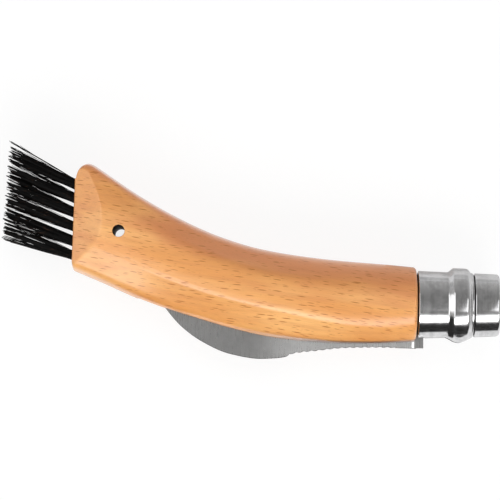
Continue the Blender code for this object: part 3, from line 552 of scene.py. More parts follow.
def beech_wood():
    """Varnished beech: warm orange brown with short dark rays along the grain."""
    material, n, own = new_material("varnished_beech")
    slant = n.add("Mapping", Vector=own, Rotation=(0.0, 0.0, math.radians(GRAIN_SLANT_DEG))).outputs[0]
    drift = n.add("TexNoise", Vector=n.scaled(slant, (14.0, 40.0, 40.0)), Scale=1.0, Detail=1.0)
    grain = n.vector("MULTIPLY_ADD", drift.outputs["Color"], (0.0, GRAIN_SWAY, GRAIN_SWAY), slant)
    facing = n.split(own.node.outputs["Normal"])
    spread = n.split(own)

    tone = n.noise(n.scaled(grain, (16.0, 85.0, 60.0)), 1.0, 3.0)
    colour = n.mix(n.remap(tone, 0.36, 0.64), WOOD_DEEP, WOOD_PALE)
    # Painted shade: faces turned towards the handle's back get more of the darker, redder blush colour, as if
    # less lit there; the noise adds a random blush on top
    back = n.math("SUBTRACT", n.math("MULTIPLY", facing["Y"], 0.80), 0.95)
    blush_and_back_shade = n.math("MULTIPLY_ADD", n.noise(n.scaled(grain, (20.0, 75.0, 60.0)), 1.0, 3.0), 2.6, back)
    colour = n.mix(n.remap(blush_and_back_shade, 0.10, 0.85, 0.0, 0.8), colour, WOOD_BLUSH_AND_SHADE)
    bands = n.noise(n.scaled(grain, (30.0, 620.0, 420.0)), 1.0, 3.0, 0.6)
    colour = n.mix(n.remap(bands, 0.42, 0.72, 0.0, 0.32), colour, WOOD_BAND)
    fibres = n.noise(n.scaled(grain, (160.0, 4200.0, 4200.0)), 1.0, 2.0)
    colour = n.mix(n.remap(fibres, 0.45, 0.75, 0.0, 0.22), colour, WOOD_FIBRE)

    fleck = ray_flecks(n, grain, RAY_CELL, RAY_HALF, 0.45)
    fleck = n.math("MULTIPLY", fleck, n.remap(n.math("ABSOLUTE", facing["Z"]), 0.15, 0.75, 0.25, 1.0))
    small = ray_flecks(n, n.scaled(grain, (1.0, 1.0, -1.0)), SMALL_RAY_CELL, SMALL_RAY_HALF, 0.4)
    colour = n.mix(n.math("MULTIPLY", fleck, 0.90), colour, RAY_BROWN)
    colour = n.mix(n.math("MULTIPLY", small, 0.48), colour, SMALL_RAY_BROWN)

    # Painted shade: a thin dark line on the belly's faces beside the blade slot, where the gap between wood
    # and blade lies in shade
    beside = n.remap(n.math("ABSOLUTE", spread["Z"]), SLOT_WIDTH * 1.9, SLOT_WIDTH * 1.0)
    slot_shade = n.math("MULTIPLY", beside, n.remap(facing["Y"], 0.0, -0.5))
    slot_shade = n.math("MULTIPLY", slot_shade, n.remap(spread["X"], -0.75 * BLADE_REACH, -0.45 * BLADE_REACH))
    colour = n.mix(n.math("MULTIPLY", slot_shade, 0.9), colour, SLOT_SHADE_BROWN)

    height = n.math("MULTIPLY_ADD", fleck, -0.6, fibres)
    bump = n.add("Bump", Height=height, Strength=0.10, Distance=GRAIN_DEPTH)
    gloss = n.remap(fleck, 0.0, 1.0, 0.36, 0.46)
    n.surface(n.add("BsdfPrincipled", Base_Color=colour, Roughness=gloss, Normal=bump.outputs[0],
                    Coat_Weight=0.6, Coat_Roughness=0.20))
    return material


def bare_wood():
    """Unvarnished, rough wall of a drilled hole, painted nearly black as the shade deep inside the hole."""
    material, n, place = new_material("bare_wood")
    tone = n.noise(n.scaled(place, (400.0, 1500.0, 1500.0)), 1.0, 2.0)
    colour = n.mix(n.remap(tone, 0.3, 0.7), HOLE_SHADE_DEEP, HOLE_SHADE_PALE)
    n.surface(n.add("BsdfPrincipled", Base_Color=colour, Roughness=0.7))
    return material


def steel(name, colour, roughness, streaks, depth, patches=0.0, waves=0.0, dullest=0.80):
    """Stainless steel with fine scratches; streaks is how often they repeat along X, Y and Z."""
    material, n, place = new_material(name)
    lines = n.noise(n.scaled(place, streaks), 1.0, 3.0, 0.6)
    cloud = n.noise(place, 420.0, 4.0, 0.6)
    tone = n.math("MULTIPLY_ADD", cloud, patches, roughness - patches / 2)
    rough = n.math("MULTIPLY_ADD", lines, 0.06, n.math("SUBTRACT", tone, 0.03))
    dark = tuple(value * dullest for value in colour) + (1,)
    worn = n.math("MULTIPLY_ADD", lines, 0.35, n.math("MULTIPLY", cloud, 0.65))
    shade = n.mix(n.remap(worn, 0.35, 0.62), dark, tuple(colour) + (1,))
    swell = n.add("Bump", Height=n.noise(place, 230.0, 1.0, 0.4), Strength=1.0, Distance=waves)
    bump = n.add("Bump", Height=lines, Strength=0.35, Distance=depth, Normal=swell.outputs[0])
    shader = n.add("BsdfPrincipled", Base_Color=shade, Roughness=rough, Metallic=1.0, Normal=bump.outputs[0])
    n.surface(shader)
    return material, n, shader, place


def collar_steel():
    """Polished ring and ferrule; the ferrule's groove under the ring is painted black and matte as shade."""
    material, n, shader, own = steel("polished_collar_steel", COLLAR_GREY, 0.15, (900.0, 40.0, 40.0),
                                     0.0000015, 0.10, 0.000022)
    place = n.split(own)
    radius = n.vector("LENGTH", n.add("CombineXYZ", Y=place["Y"], Z=place["Z"]).outputs[0])
    slope = (COLLAR_BACK_RADIUS - COLLAR_FRONT_RADIUS) / COLLAR_LENGTH
    taper = n.math("MULTIPLY_ADD", place["X"], slope, radius)
    depth = n.math("SUBTRACT", collar_radius(0), taper)
    # Painted shade: the ferrule's groove under the ring, seen in the gaps beside the ring, is painted black
    # and matte instead of steel
    behind = n.remap(place["X"], RING_FRONT + 3 * FIT_GAP, RING_FRONT + 2 * FIT_GAP)
    gap_shade = n.math("MULTIPLY", n.remap(depth, RING_WALL * 0.5, RING_WALL * 0.9), behind)
    clean, rough = (shader.inputs[name].links[0].from_socket for name in ("Base Color", "Roughness"))
    n.put(shader, "Base Color", n.mix(gap_shade, clean, GAP_SHADE_BLACK))
    n.put(shader, "Metallic", n.math("SUBTRACT", 1.0, gap_shade))
    n.put(shader, "Roughness", n.math("MAXIMUM", rough, n.math("MULTIPLY", gap_shade, 0.75)))
    return material


def blade_steel():
    """Brushed satin blade with painted light: lighter near the collar, darker towards its tip and on its
    block.
    """
    material, n, shader, own = steel("brushed_blade_steel", BLADE_GREY, 0.28, (5200.0, 90.0, 90.0),
                                     0.000007, dullest=0.90)
    along = n.split(own)["X"]
    # Painted light and shade: the grey is raised towards the collar and lowered towards the tip, and the
    # block is painted darker as shade
    ground = n.remap(along, -0.68 * BLADE_REACH, -0.50 * BLADE_REACH, 0.78, 1.50)
    block = n.remap(along, BLOCK_BACK, BLOCK_BACK + BLOCK_LENGTH / 5, 1.0, 0.54)
    painted_light_and_shade = n.math("MULTIPLY", ground, block)
    grey = n.add("CombineColor", Red=painted_light_and_shade, Green=painted_light_and_shade, Blue=painted_light_and_shade).outputs[0]
    clean = shader.inputs["Base Color"].links[0].from_socket
    n.put(shader, "Base Color", n.mix(1.0, clean, grey, "MULTIPLY"))
    return material


def bristle_hair():
    """Dark natural bristle, nearly black with some brown hairs."""
    material, n, place = new_material("dark_bristle")
    tone = n.noise(n.scaled(place, (260.0, 1500.0, 1500.0)), 1.0, 2.0)
    colour = n.mix(n.remap(tone, 0.58, 0.84), HAIR_BLACK, HAIR_BROWN)
    n.surface(n.add("BsdfPrincipled", Base_Color=colour, Roughness=0.50, Specular_IOR_Level=0.08))
    return material


# Handle

def end_rounding(x, start, length, drop):
    """How far an elliptic rounding that starts at a place has drawn the edge in."""
    share = min(max((start - x) / length, 0.0), END_ROUND_LIMIT_SHARE)
    return drop * (1 - math.sqrt(1 - share * share))


def end_face_lean(rise):
    """How far towards the collar the tilted end face stands, at a rise above its foot."""
    return rise * math.tan(math.radians(END_FACE_TILT_DEG))


def back_edge(x):
    share = (SHOULDER - x) / HANDLE_LENGTH
    height = HANDLE_END_RADIUS + BACK_RISE * smooth_value(BACK_EDGE_SHARES, share)
    start = HANDLE_END + BACK_END_ROUND_LENGTH + end_face_lean(BACK_RISE)
    return height - end_rounding(x, start, BACK_END_ROUND_LENGTH, BACK_END_ROUND_DROP)


def belly_edge(x):
    share = (SHOULDER - x) / HANDLE_LENGTH
    height = -HANDLE_END_RADIUS + BELLY_RISE * smooth_value(BELLY_EDGE_SHARES, share)
    return height + end_rounding(x, HANDLE_END + BELLY_END_ROUND, BELLY_END_ROUND, BELLY_END_ROUND)


FACE_FOOT = belly_edge(HANDLE_END)


def rounded_corner(before, corner, after, distance, steps=CORNER_STEPS):
    """Points of a curve that cuts a corner at a distance along each of its sides."""
    ends = []
    for other in (before, after):
        side = (other[0] - corner[0], other[1] - corner[1])
        length = math.hypot(*side)
        reach = min(distance, length / 2) / length
        ends.append((corner[0] + side[0] * reach, corner[1] + side[1] * reach))
    return [tuple((1 - t) ** 2 * a + 2 * t * (1 - t) * c + t * t * b
                  for a, c, b in zip(ends[0], corner, ends[1])) for t in spaced(0, 1, steps)]


def between(start, end, count):
    return [tuple(a + (b - a) * i / (count + 1) for a, b in zip(start, end)) for i in range(1, count + 1)]


def side_curve(start, end, steps=SIDE_STEPS):
    """Points down the handle's side, which curves away from flat towards the lower crease."""
    return [(start[0] + (end[0] - start[0]) * t, start[1] + (end[1] - start[1]) * t ** SIDE_CURVE_POWER)
            for t in spaced(0, 1, steps)]


def half_section(share):
    """Half outline, from back to belly, as (share of half height, share of half thickness) points."""
    upper = smooth_value(UPPER_CREASE_SHARES, share)
    lower = smooth_value(LOWER_CREASE_SHARES, share)
    ridge, back_corner = (1.0, 0.0), (1.0 - SECTION_CROWN_SHARE, smooth_value(BACK_WIDTH_SHARES, share))
    keel, belly_corner = (-1.0, 0.0), (-1.0 + SECTION_CROWN_SHARE, smooth_value(BELLY_WIDTH_SHARES, share))
    high, low = (upper, 1.0), (lower, smooth_value(LOWER_CREASE_WIDTH_SHARES, share))
    side = side_curve((upper - UPPER_ROUND_SHARE - SIDE_FLAT_SHARE, 1.0), low)
    side_top = (upper - 2 * UPPER_ROUND_SHARE, 1.0)
    back = rounded_corner(ridge, back_corner, high, CORNER_ROUND_SHARE)
    shoulder = rounded_corner(back_corner, high, side_top, UPPER_ROUND_SHARE, UPPER_ROUND_STEPS)
    crease = rounded_corner(side[-5], low, belly_corner, CREASE_ROUND_SHARE)
    belly = rounded_corner(low, belly_corner, keel, CORNER_ROUND_SHARE)
    points = [ridge] + between(ridge, back[0], CROWN_POINTS) + back
    points += between(back[-1], shoulder[0], BEVEL_POINTS) + shoulder
    points += between(shoulder[-1], side[0], SIDE_FLAT_POINTS) + side[:-2]
    points += crease + between(crease[-1], belly[0], BEVEL_POINTS) + belly
    points += between(belly[-1], keel, CROWN_POINTS) + [keel]
    faceted = smooth_value(FACETED_SHARES, share)
    blended = []
    for rise, width in points:
        distance = math.hypot(rise, width)
        scale = (faceted * distance + (1 - faceted)) / distance
        blended.append((rise * scale, width * scale))
    return blended


def near_keel(half, half_thickness):
    """The outline's last part again, with points close together beside the blade slot."""
    kept = half[:-KEEL_POINTS]
    tail = half[-KEEL_POINTS - 1:]
    slot = SLOT_WIDTH / 2 / half_thickness
    ease = SLOT_EASE / half_thickness
    widths = spaced(kept[-1][1], slot + SLOT_RIM_START * ease, SLOT_RIM_STEPS, 1)
    widths += [slot + ease * share for share in SLOT_RIM_SHARES] + [slot / 2, 0.0]
    for width in widths:
        for (rise, wide), (next_rise, next_wide) in zip(tail, tail[1:]):
            if next_wide <= width <= wide:
                share = (wide - width) / (wide - next_wide) if wide > next_wide else 0.0
                kept.append((rise + (next_rise - rise) * share, width))
                break
    return kept


def soft_limit(value, limit, ease):
    """The smaller of two values, rounded off where they meet."""
    overlap = max(ease - abs(value - limit), 0.0)
    return min(value, limit) - overlap * overlap / (4 * ease)


def slot_ease(x, y, z):
    """How far the slot's eased rim is drawn in at a point of the belly."""
    depth = SLOT_WIDTH / 2 + SLOT_EASE - z
    if depth <= 0:
        return 0.0
    depth = min(depth, SLOT_EASE)
    fade = limited((x + math.sqrt(SLOT_RADIUS ** 2 - y * y)) / SLOT_EASE)
    return fade * (SLOT_EASE - math.sqrt(SLOT_EASE ** 2 - depth ** 2))


def body_loop(x, lean=0.0, inset=0.0):
    """Loop of points round the handle's body. Lean tilts it towards the end face's plane."""
    facet_slope = (HALF_THICKNESS - END_FACE_THICKNESS / 2) / END_FACET_LENGTH
    front = []
    for rise, width in near_keel(half_section((SHOULDER - x) / HANDLE_LENGTH), HALF_THICKNESS):
        place = x
        for attempt in range(LEAN_PASSES):
            top, bottom = back_edge(place), belly_edge(place)
            y = (top + bottom) / 2 + (top - bottom) / 2 * rise
            place = x + lean * end_face_lean(y - FACE_FOOT)
        limit = END_FACE_THICKNESS / 2 + (place - HANDLE_END) * facet_slope
        z = soft_limit(HALF_THICKNESS * width, limit, FACET_EASE)
        if rise < 0:
            y += slot_ease(place, y, z)
        front.append((place, y, z))
    if inset:
        front = inset_outline(front, inset)
    return closed_loop(front)


def inset_outline(front, inset):
    """The half outline drawn in square to itself by a distance."""
    moved = []
    for index, (x, y, z) in enumerate(front):
        before = front[max(index - 1, 0)]
        after = front[min(index + 1, len(front) - 1)]
        along = Vector((after[1] - before[1], after[2] - before[2]))
        if index in (0, len(front) - 1):
            along = Vector((0, 1 if index == 0 else -1))
        along.normalize()
        moved.append((x, y - along[1] * inset, z + along[0] * inset if z > 0 else 0.0))
    return moved


def neck_loop(x, radius):
    half = near_keel(half_section(0.0), radius)
    return closed_loop([(x, radius * rise, radius * width) for rise, width in half])


def handle_places():
    """Places along the body: close together on the rounded end and the end facets."""
    fine_start = HANDLE_END + END_FACET_LENGTH + END_RUN_IN
    start = SHOULDER - HANDLE_SHOULDER_ROUND
    places = spaced(start, fine_start, round((start - fine_start) / BODY_STATION))
    middle = HANDLE_END + BELLY_END_ROUND
    places += spaced(fine_start, middle, round((fine_start - middle) / END_STATION), 1)
    reach = BELLY_END_ROUND - EDGE_EASE
    return places + [middle - reach * sine for sine, cosine in quarter_round(CORNER_STEPS, 1)]


def make_handle(wood, hole_shade):
    neck_end = COLLAR_FRONT - FIT_GAP
    neck = [(neck_end, NECK_RADIUS - COLLAR_EDGE_ROUND), (neck_end - COLLAR_EDGE_ROUND, NECK_RADIUS),
            (SHOULDER, NECK_RADIUS)]
    loops = [neck_loop(x, radius) for x, radius in neck]
    for sine, cosine in quarter_round(SHOULDER_STEPS)[:-1]:
        inset = HANDLE_SHOULDER_ROUND * (1 - sine)
        loops.append(body_loop(SHOULDER - HANDLE_SHOULDER_ROUND * (1 - cosine), inset=inset))
    lean_start = HANDLE_END + END_FACET_LENGTH
    for x in handle_places():
        loops.append(body_loop(x, limited((lean_start - x) / (lean_start - HANDLE_END - EDGE_EASE))))
    for sine, cosine in quarter_round(ROUND_STEPS, 1):
        loops.append(body_loop(HANDLE_END + EDGE_EASE * (1 - sine), 1.0, EDGE_EASE * (1 - cosine)))
    handle = new_piece("handle_wood", loft(loops), wood)
    # The cutters carry the hole wall material, painted nearly black as shade, onto the walls of the slot and
    # the holes
    cut(handle, [make_slot_cutter(hole_shade), make_pin_cutter(), make_lanyard_cutter(wood, hole_shade)])
    places = [(row, column) for row in range(TUFT_ROWS) for column in range(TUFT_COLUMNS)]
    cut(handle, [make_tuft_cutter(row, column, hole_shade) for row, column in places])
    finish_piece(handle, "grip", ["handle"])


def make_slot_cutter(hole_shade):
    top = math.degrees(math.asin(SLOT_CEILING / SLOT_RADIUS))
    bottom = math.degrees(math.asin((BLADE_DEPTH + CUT_OVERRUN) / SLOT_RADIUS))
    front = COLLAR_FRONT + CUT_OVERRUN
    outline = [(front, -(BLADE_DEPTH + CUT_OVERRUN)), (front, SLOT_CEILING)]
    outline += arc(SLOT_RADIUS, 180 - top, 180 + bottom, SLOT_END_STEPS)
    return new_piece("slot_cutter", prism(outline, -SLOT_WIDTH / 2, SLOT_WIDTH / 2), hole_shade)


def make_pin_cutter():
    reach = HALF_THICKNESS + CUT_OVERRUN
    profile = both_ends([(reach, PIN_RADIUS + FIT_GAP), (reach, 0)])
    return new_piece("pin_cutter", turned(profile, "Z", PIN_STEPS))


def make_lanyard_cutter(wood, hole_shade):
    """Through hole with a varnished, rounded rim at both sides of the handle and an unvarnished wall painted
    dark as shade.
    """
    rim = HALF_THICKNESS - LANYARD_CHAMFER
    top = HALF_THICKNESS + CUT_OVERRUN
    half = [(rim, LANYARD_RADIUS)]
    for sine, cosine in quarter_round(ROUND_STEPS, 1, LANYARD_RIM_DEG):
        half.append((HALF_THICKNESS - LANYARD_CHAMFER * (1 - sine),
                     LANYARD_RADIUS + LANYARD_CHAMFER * (1 - cosine)))
    flare = LANYARD_RADIUS + LANYARD_CHAMFER + CUT_OVERRUN
    half += [(HALF_THICKNESS + LANYARD_CHAMFER, flare), (top, flare), (top, 0)]
    bm = turned(both_ends(half), "Z", LANYARD_STEPS)
    x = HANDLE_END + LANYARD_FROM_END
    y = belly_edge(x) + (back_edge(x) - belly_edge(x)) * LANYARD_HEIGHT_SHARE
    bmesh.ops.translate(bm, verts=bm.verts[:], vec=(x, y, 0))
    cutter = new_piece("lanyard_cutter", bm, hole_shade)
    cutter.data.materials.append(wood)
    for face in cutter.data.polygons:
        face.material_index = 1 if abs(face.center.z) > rim else 0
    return cutter


def make_tuft_cutter(row, column, hole_shade):
    radius = hole_radius()
    profile = [(-TUFT_DEPTH, 0), (-TUFT_DEPTH, radius), (-HOLE_CHAMFER, radius),
               (CUT_OVERRUN, radius + HOLE_CHAMFER + CUT_OVERRUN), (CUT_OVERRUN, 0)]
    bm = turned(profile, "Z", TUFT_STEPS)
    bmesh.ops.transform(bm, matrix=tuft_frame(row, column), verts=bm.verts[:])
    return new_piece(f"tuft_cutter_{row}_{column}", bm, hole_shade)


# Collar

def bead_height(x, width):
    """Share of the bead's rise at a place along the collar, for an outer or inner bead width."""
    return smooth_value(BEAD_PROFILE_SHARES, (x - (RING_FRONT - BEAD_SETBACK)) / (width / 2))


def tab_height(x):
    return smooth_value(TAB_PROFILE_SHARES, (x - (RING_FRONT - TAB_SETBACK)) / (TAB_WIDTH / 2))


def edge_rounding(x):
    """How far the ring's outer edges are rounded off at a place along it."""
    depth = COLLAR_EDGE_ROUND - min(x - RING_BACK, RING_FRONT - x)
    if depth <= 0:
        return 0.0
    return COLLAR_EDGE_ROUND - math.sqrt(max(COLLAR_EDGE_ROUND ** 2 - depth ** 2, 0.0))


def ring_point(x, radius, turn):
    """Point at a share of the way round, from the slot's wall on +Z to its wall on -Z."""
    wall = math.asin(RING_SLOT_WIDTH / 2 / radius)
    angle = -math.pi / 2 + wall + turn * (2 * math.pi - 2 * wall)
    return (x, radius * math.sin(angle), radius * math.cos(angle))


def make_ring(metal):
    """Open ring: one wall profile carried round the axis, with a pinched thumb tab at each slot edge."""
    ends = [COLLAR_EDGE_ROUND * (1 - cosine) for sine, cosine in quarter_round(ROUND_STEPS)][:-1]
    places = [RING_BACK + end for end in ends]
    places += spaced(RING_BACK + COLLAR_EDGE_ROUND, RING_FRONT - COLLAR_EDGE_ROUND, RING_OUTER_STEPS)
    places += [RING_FRONT - end for end in reversed(ends)]
    inner_places = spaced(RING_FRONT, RING_BACK, RING_INNER_STEPS)
    tab_share = TAB_ARC_DEG / 360
    turns = spaced(0, tab_share, TAB_STEPS)[:-1] + spaced(tab_share, 1 - tab_share, RING_TURN_STEPS)
    turns += [1 - share for share in reversed(turns[:TAB_STEPS])]
    sections = []
    for turn in turns:
        pinch = max(0.0, 1 - min(turn, 1 - turn) / tab_share) ** PINCH_POWER
        outline = []
        for x in places:
            bead = BEAD_RISE * bead_height(x, BEAD_WIDTH)
            tab = TAB_RISE * tab_height(x)
            outline.append((x, collar_radius(x) + bead + (tab - bead) * pinch - edge_rounding(x)))
        for x in inner_places:
            bead = BEAD_RISE * bead_height(x, BEAD_WIDTH - 2 * RING_WALL)
            outline.append((x, collar_radius(x) - RING_WALL + bead))
        sections.append([ring_point(x, radius, turn) for x, radius in outline])
    ring = new_piece("collar_ring", loft(sections), metal)
    cut(ring, [make_notch_cutter()])
    finish_piece(ring, "locking_ring", ["lock_ring"])


def make_notch_cutter():
    """Rebate in the ring's back edge that lets it turn over the folded blade's block."""
    radius = COLLAR_BACK_RADIUS + BEAD_RISE + CUT_OVERRUN
    block_half = math.degrees(math.asin((BLADE_THICKNESS / 2 + SLOT_CLEARANCE) / BORE_RADIUS))
    sector = [(0, 0)] + arc(radius, -90, -90 - LOCK_TURN_DEG - block_half, NOTCH_STEPS)
    bm = prism(sector, RING_BACK - CUT_OVERRUN, RING_BACK + LOCK_NOTCH_DEPTH)
    for vert in bm.verts:
        across, up, along = vert.co
        vert.co = Vector((along, up, across))
    return new_piece("notch_cutter", bm)


def make_ferrule(metal):
    back = SHOULDER + FIT_GAP
    band_back = RING_FRONT + FIT_GAP
    profile = [(back, BORE_RADIUS), (back, groove_radius(back)), (band_back, groove_radius(band_back))]
    for sine, cosine in quarter_round(ROUND_STEPS):
        profile.append((band_back + COLLAR_EDGE_ROUND * (1 - cosine),
                        collar_radius(band_back) - COLLAR_EDGE_ROUND * (1 - sine)))
    for sine, cosine in quarter_round(FERRULE_ROUND_STEPS):
        profile.append((COLLAR_FRONT - FERRULE_FRONT_ROUND * (1 - sine),
                        COLLAR_FRONT_RADIUS - FERRULE_FRONT_ROUND * (1 - cosine)))
    for sine, cosine in quarter_round(ROUND_STEPS):
        profile.append((COLLAR_FRONT - COLLAR_EDGE_ROUND * (1 - cosine),
                        BORE_RADIUS + COLLAR_EDGE_ROUND * (1 - sine)))
    ferrule = new_piece("collar_ferrule", turned(profile, "X", FERRULE_STEPS), metal)
    depth = COLLAR_BACK_RADIUS + CUT_OVERRUN
    size = (COLLAR_LENGTH + 2 * CUT_OVERRUN, depth, SLOT_WIDTH, 1)
    middle = Matrix.Translation(((RING_BACK + COLLAR_FRONT) / 2, -depth / 2, 0))
    bm = bmesh.new()
    bmesh.ops.create_cube(bm, size=1, matrix=middle @ Matrix.Diagonal(size))
    cut(ferrule, [new_piece("ferrule_slot_cutter", bm), make_pin_cutter()])
    finish_piece(ferrule, "grip", ["fixed_ferrule"])


def make_pin(metal):
    seat = groove_radius(0) + FIT_GAP
    half = [(seat, PIN_RADIUS), (seat, PIN_HEAD_RADIUS), (seat + PIN_HEAD_HEIGHT / 2, PIN_HEAD_RADIUS)]
    for sine, cosine in quarter_round(PIN_HEAD_STEPS, 1):
        half.append((seat + PIN_HEAD_HEIGHT / 2 * (1 + sine), PIN_HEAD_RADIUS * cosine))
    half[-1] = (half[-1][0], 0)
    pin = new_piece("blade_pin", turned(both_ends(half), "Z", PIN_STEPS), metal)
    finish_piece(pin, "grip", ["pivot_pin"])


# Blade

def serration(x):
    """Depth of the scalloped spine at a place, measured from its crests."""
    place = (-SERRATION_SETBACK - x) / SERRATION_PITCH
    if place <= 0 or place >= SERRATION_COUNT:
        return 0.0
    return SERRATION_DEPTH * (1 - abs(math.sin(math.pi * place))) ** SERRATION_POWER


def blade_places():
    """Places along the ground blade, closest together over its serrations."""
    start = BLOCK_BACK - PLUNGE_LENGTH
    tip = -BLADE_REACH + TIP_BLUNTNESS
    scallop_start, scallop_end = -SERRATION_SETBACK, -SERRATION_SETBACK - SERRATION_PITCH * SERRATION_COUNT
    places = [BLOCK_BACK + BLOCK_LENGTH / 4, BLOCK_BACK] + spaced(start, scallop_start, HEEL_STEPS)[:-1]
    places += spaced(scallop_start, scallop_end, SERRATION_COUNT * SERRATION_STEPS)[:-1]
    return places + spaced(scallop_end, tip, HOOK_STEPS)


def make_blade(metal):
    heel = BLOCK_BACK + HEEL_SETBACK
    outline = [(BLOCK_BACK, -BLOCK_DEPTH), (BLOCK_FRONT, -BLOCK_DEPTH), (BLOCK_FRONT, -TANG_RADIUS)]
    outline += arc(TANG_RADIUS, -90, 90, TANG_STEPS)
    outline += [(heel, TANG_RADIUS), (BLOCK_BACK, TANG_RADIUS - HEEL_STEP)]
    blade = new_piece("blade_steel", prism(outline, -BLADE_THICKNESS / 2, BLADE_THICKNESS / 2), metal)
    sections = []
    for x in blade_places():
        share = -x / BLADE_REACH
        spine = BLADE_DEPTH * smooth_value(SPINE_SHARES, share) + serration(x)
        edge = BLADE_DEPTH * smooth_value(EDGE_SHARES, share)
        half_spine = SPINE_THICKNESS / 2 * (1 - (1 - TIP_THICKNESS_SHARE) * share ** 2)
        half_edge = EDGE_THICKNESS / 2
        chamfer = min(SPINE_CHAMFER, half_spine / 2)
        plunge = limited((x - BLOCK_BACK) / PLUNGE_LENGTH + 1) * PLUNGE_SHARE
        side = [(spine, half_spine - chamfer)]
        for height, thickness in GRIND_SHARES:
            ground = half_edge + (half_spine - half_edge) * thickness
            side.append((max(spine + (edge - spine) * height, spine + chamfer),
                         ground + (BLADE_THICKNESS / 2 - ground) * plunge))
        front = [(x, y, z) for y, z in side]
        sections.append(front + [(x, y, -z) for x, y, z in reversed(front)])
    cut(blade, [new_piece("grind", loft(sections))], "UNION")
    cut(blade, [make_pin_cutter(), make_nick_cutter()])
    finish_piece(blade, "knife_blade", ["blade"], BLADE_SMOOTH_DEG)


def make_nick_cutter():
    """Tilted disc that grinds the opening nick into the far face of the blade."""
    share = NICK_SETBACK / BLADE_REACH
    step = TIP_BLUNTNESS / BLADE_REACH
    shares = (share - step, share, share + step)
    before, spine, after = (BLADE_DEPTH * smooth_value(SPINE_SHARES, place) for place in shares)
    along = math.atan2(after - before, -2 * TIP_BLUNTNESS)
    lean = math.radians(NICK_LEAN_DEG)
    place = (Matrix.Translation((-NICK_SETBACK, spine + NICK_FROM_SPINE, -SPINE_THICKNESS / 2 + NICK_DEPTH))
             @ Matrix.Rotation(along, 4, "Z") @ Matrix.Rotation(math.pi / 2 - lean, 4, "X")
             @ Matrix.Translation((0, -NICK_WHEEL_RADIUS, 0)))
    bm = bmesh.new()
    bmesh.ops.create_cone(bm, cap_ends=True, segments=NICK_STEPS, radius1=NICK_WHEEL_RADIUS,
                          radius2=NICK_WHEEL_RADIUS, depth=NICK_WIDTH, matrix=place)
    return new_piece("nick_cutter", bm)


# Brush

def hole_radius():
    return TUFT_DIAMETER / 2 + FIT_GAP


def end_face_span():
    """Foot and top of the flat end face that the tufts stand in."""
    return FACE_FOOT, back_edge(HANDLE_END + end_face_lean(BACK_RISE - BELLY_RISE))


def tuft_frame(row, column):
    """Frame at a tuft hole's mouth: X down the rows, Y up the pin's axis, Z out along the tuft."""
    low, high = end_face_span()
    radius = hole_radius()
    bottom = low + BRUSH_BELLY_MARGIN + radius
    top = high - BRUSH_BACK_MARGIN - radius
    side = END_FACE_THICKNESS / 2 - BRUSH_SIDE_MARGIN - radius
    up = row / (TUFT_ROWS - 1)
    across = 2 * column / (TUFT_COLUMNS - 1) - 1
    y = bottom + (top - bottom) * up
    mouth = Vector((HANDLE_END + end_face_lean(y - low), y, side * across))
    rise = math.radians(TUFT_RISE_DEG + ROW_FAN_DEG * (up - 0.5))
    fan = math.radians(COLUMN_FAN_DEG / 2 * across)
    outward = Vector((-math.cos(rise) * math.cos(fan), math.sin(rise) * math.cos(fan), math.sin(fan)))
    down = Vector((0, 0, 1)).cross(outward).normalized()
    return Matrix.Translation(mouth) @ Matrix((down, outward.cross(down), outward)).transposed().to_4x4()


def trim_length(place, offset):
    """Length along a tuft, from its mouth, to the flat trim of the whole brush."""
    low, high = end_face_span()
    tilt = math.radians(BRISTLE_TRIM_TILT_DEG)
    rise = math.radians(TUFT_RISE_DEG)
    middle = Vector((HANDLE_END + end_face_lean((high - low) / 2), (low + high) / 2, 0))
    trim_point = middle + Vector((-math.cos(rise), math.sin(rise), 0)) * BRISTLE_LENGTH
    normal = Vector((-math.cos(tilt), math.sin(tilt), 0))
    start = place @ Vector((offset[0], offset[1], 0))
    outward = place.to_3x3() @ Vector((0, 0, 1))
    return (trim_point - start).dot(normal) / outward.dot(normal)


def make_clumps(chance):
    """Where a tuft's bristles gather: place in the tuft, drift of the tip and lost length of each clump."""
    clumps = []
    for clump in range(CLUMPS_PER_TUFT):
        angle = CLUMP_TURN * clump
        share = math.sqrt((clump + 0.5) / CLUMPS_PER_TUFT)
        drift = (chance.gauss(0, CLUMP_JITTER), chance.gauss(0, CLUMP_JITTER))
        lost = abs(chance.gauss(0, HAIR_UNEVENNESS))
        clumps.append((share * math.cos(angle), share * math.sin(angle), drift, lost))
    return clumps


def hair_line(place, root, tip, bend, length):
    """Centre line of one bristle, from its anchor to its tip, with a radius for each point."""
    start = -(TUFT_DEPTH - FIT_GAP - ANCHOR_HEIGHT - FIT_GAP)
    points = []
    for station in HAIR_STATION_SHARES:
        z = start + (length - start) * station
        out = max(z, 0.0) / length
        sway = math.sin(math.pi * out)
        x, y = (a + (b - a) * out + c * sway for a, b, c in zip(root, tip, bend))
        points.append((place @ Vector((x, y, z)), HAIR_RADIUS * (1 - HAIR_TAPER * out)))
    return points


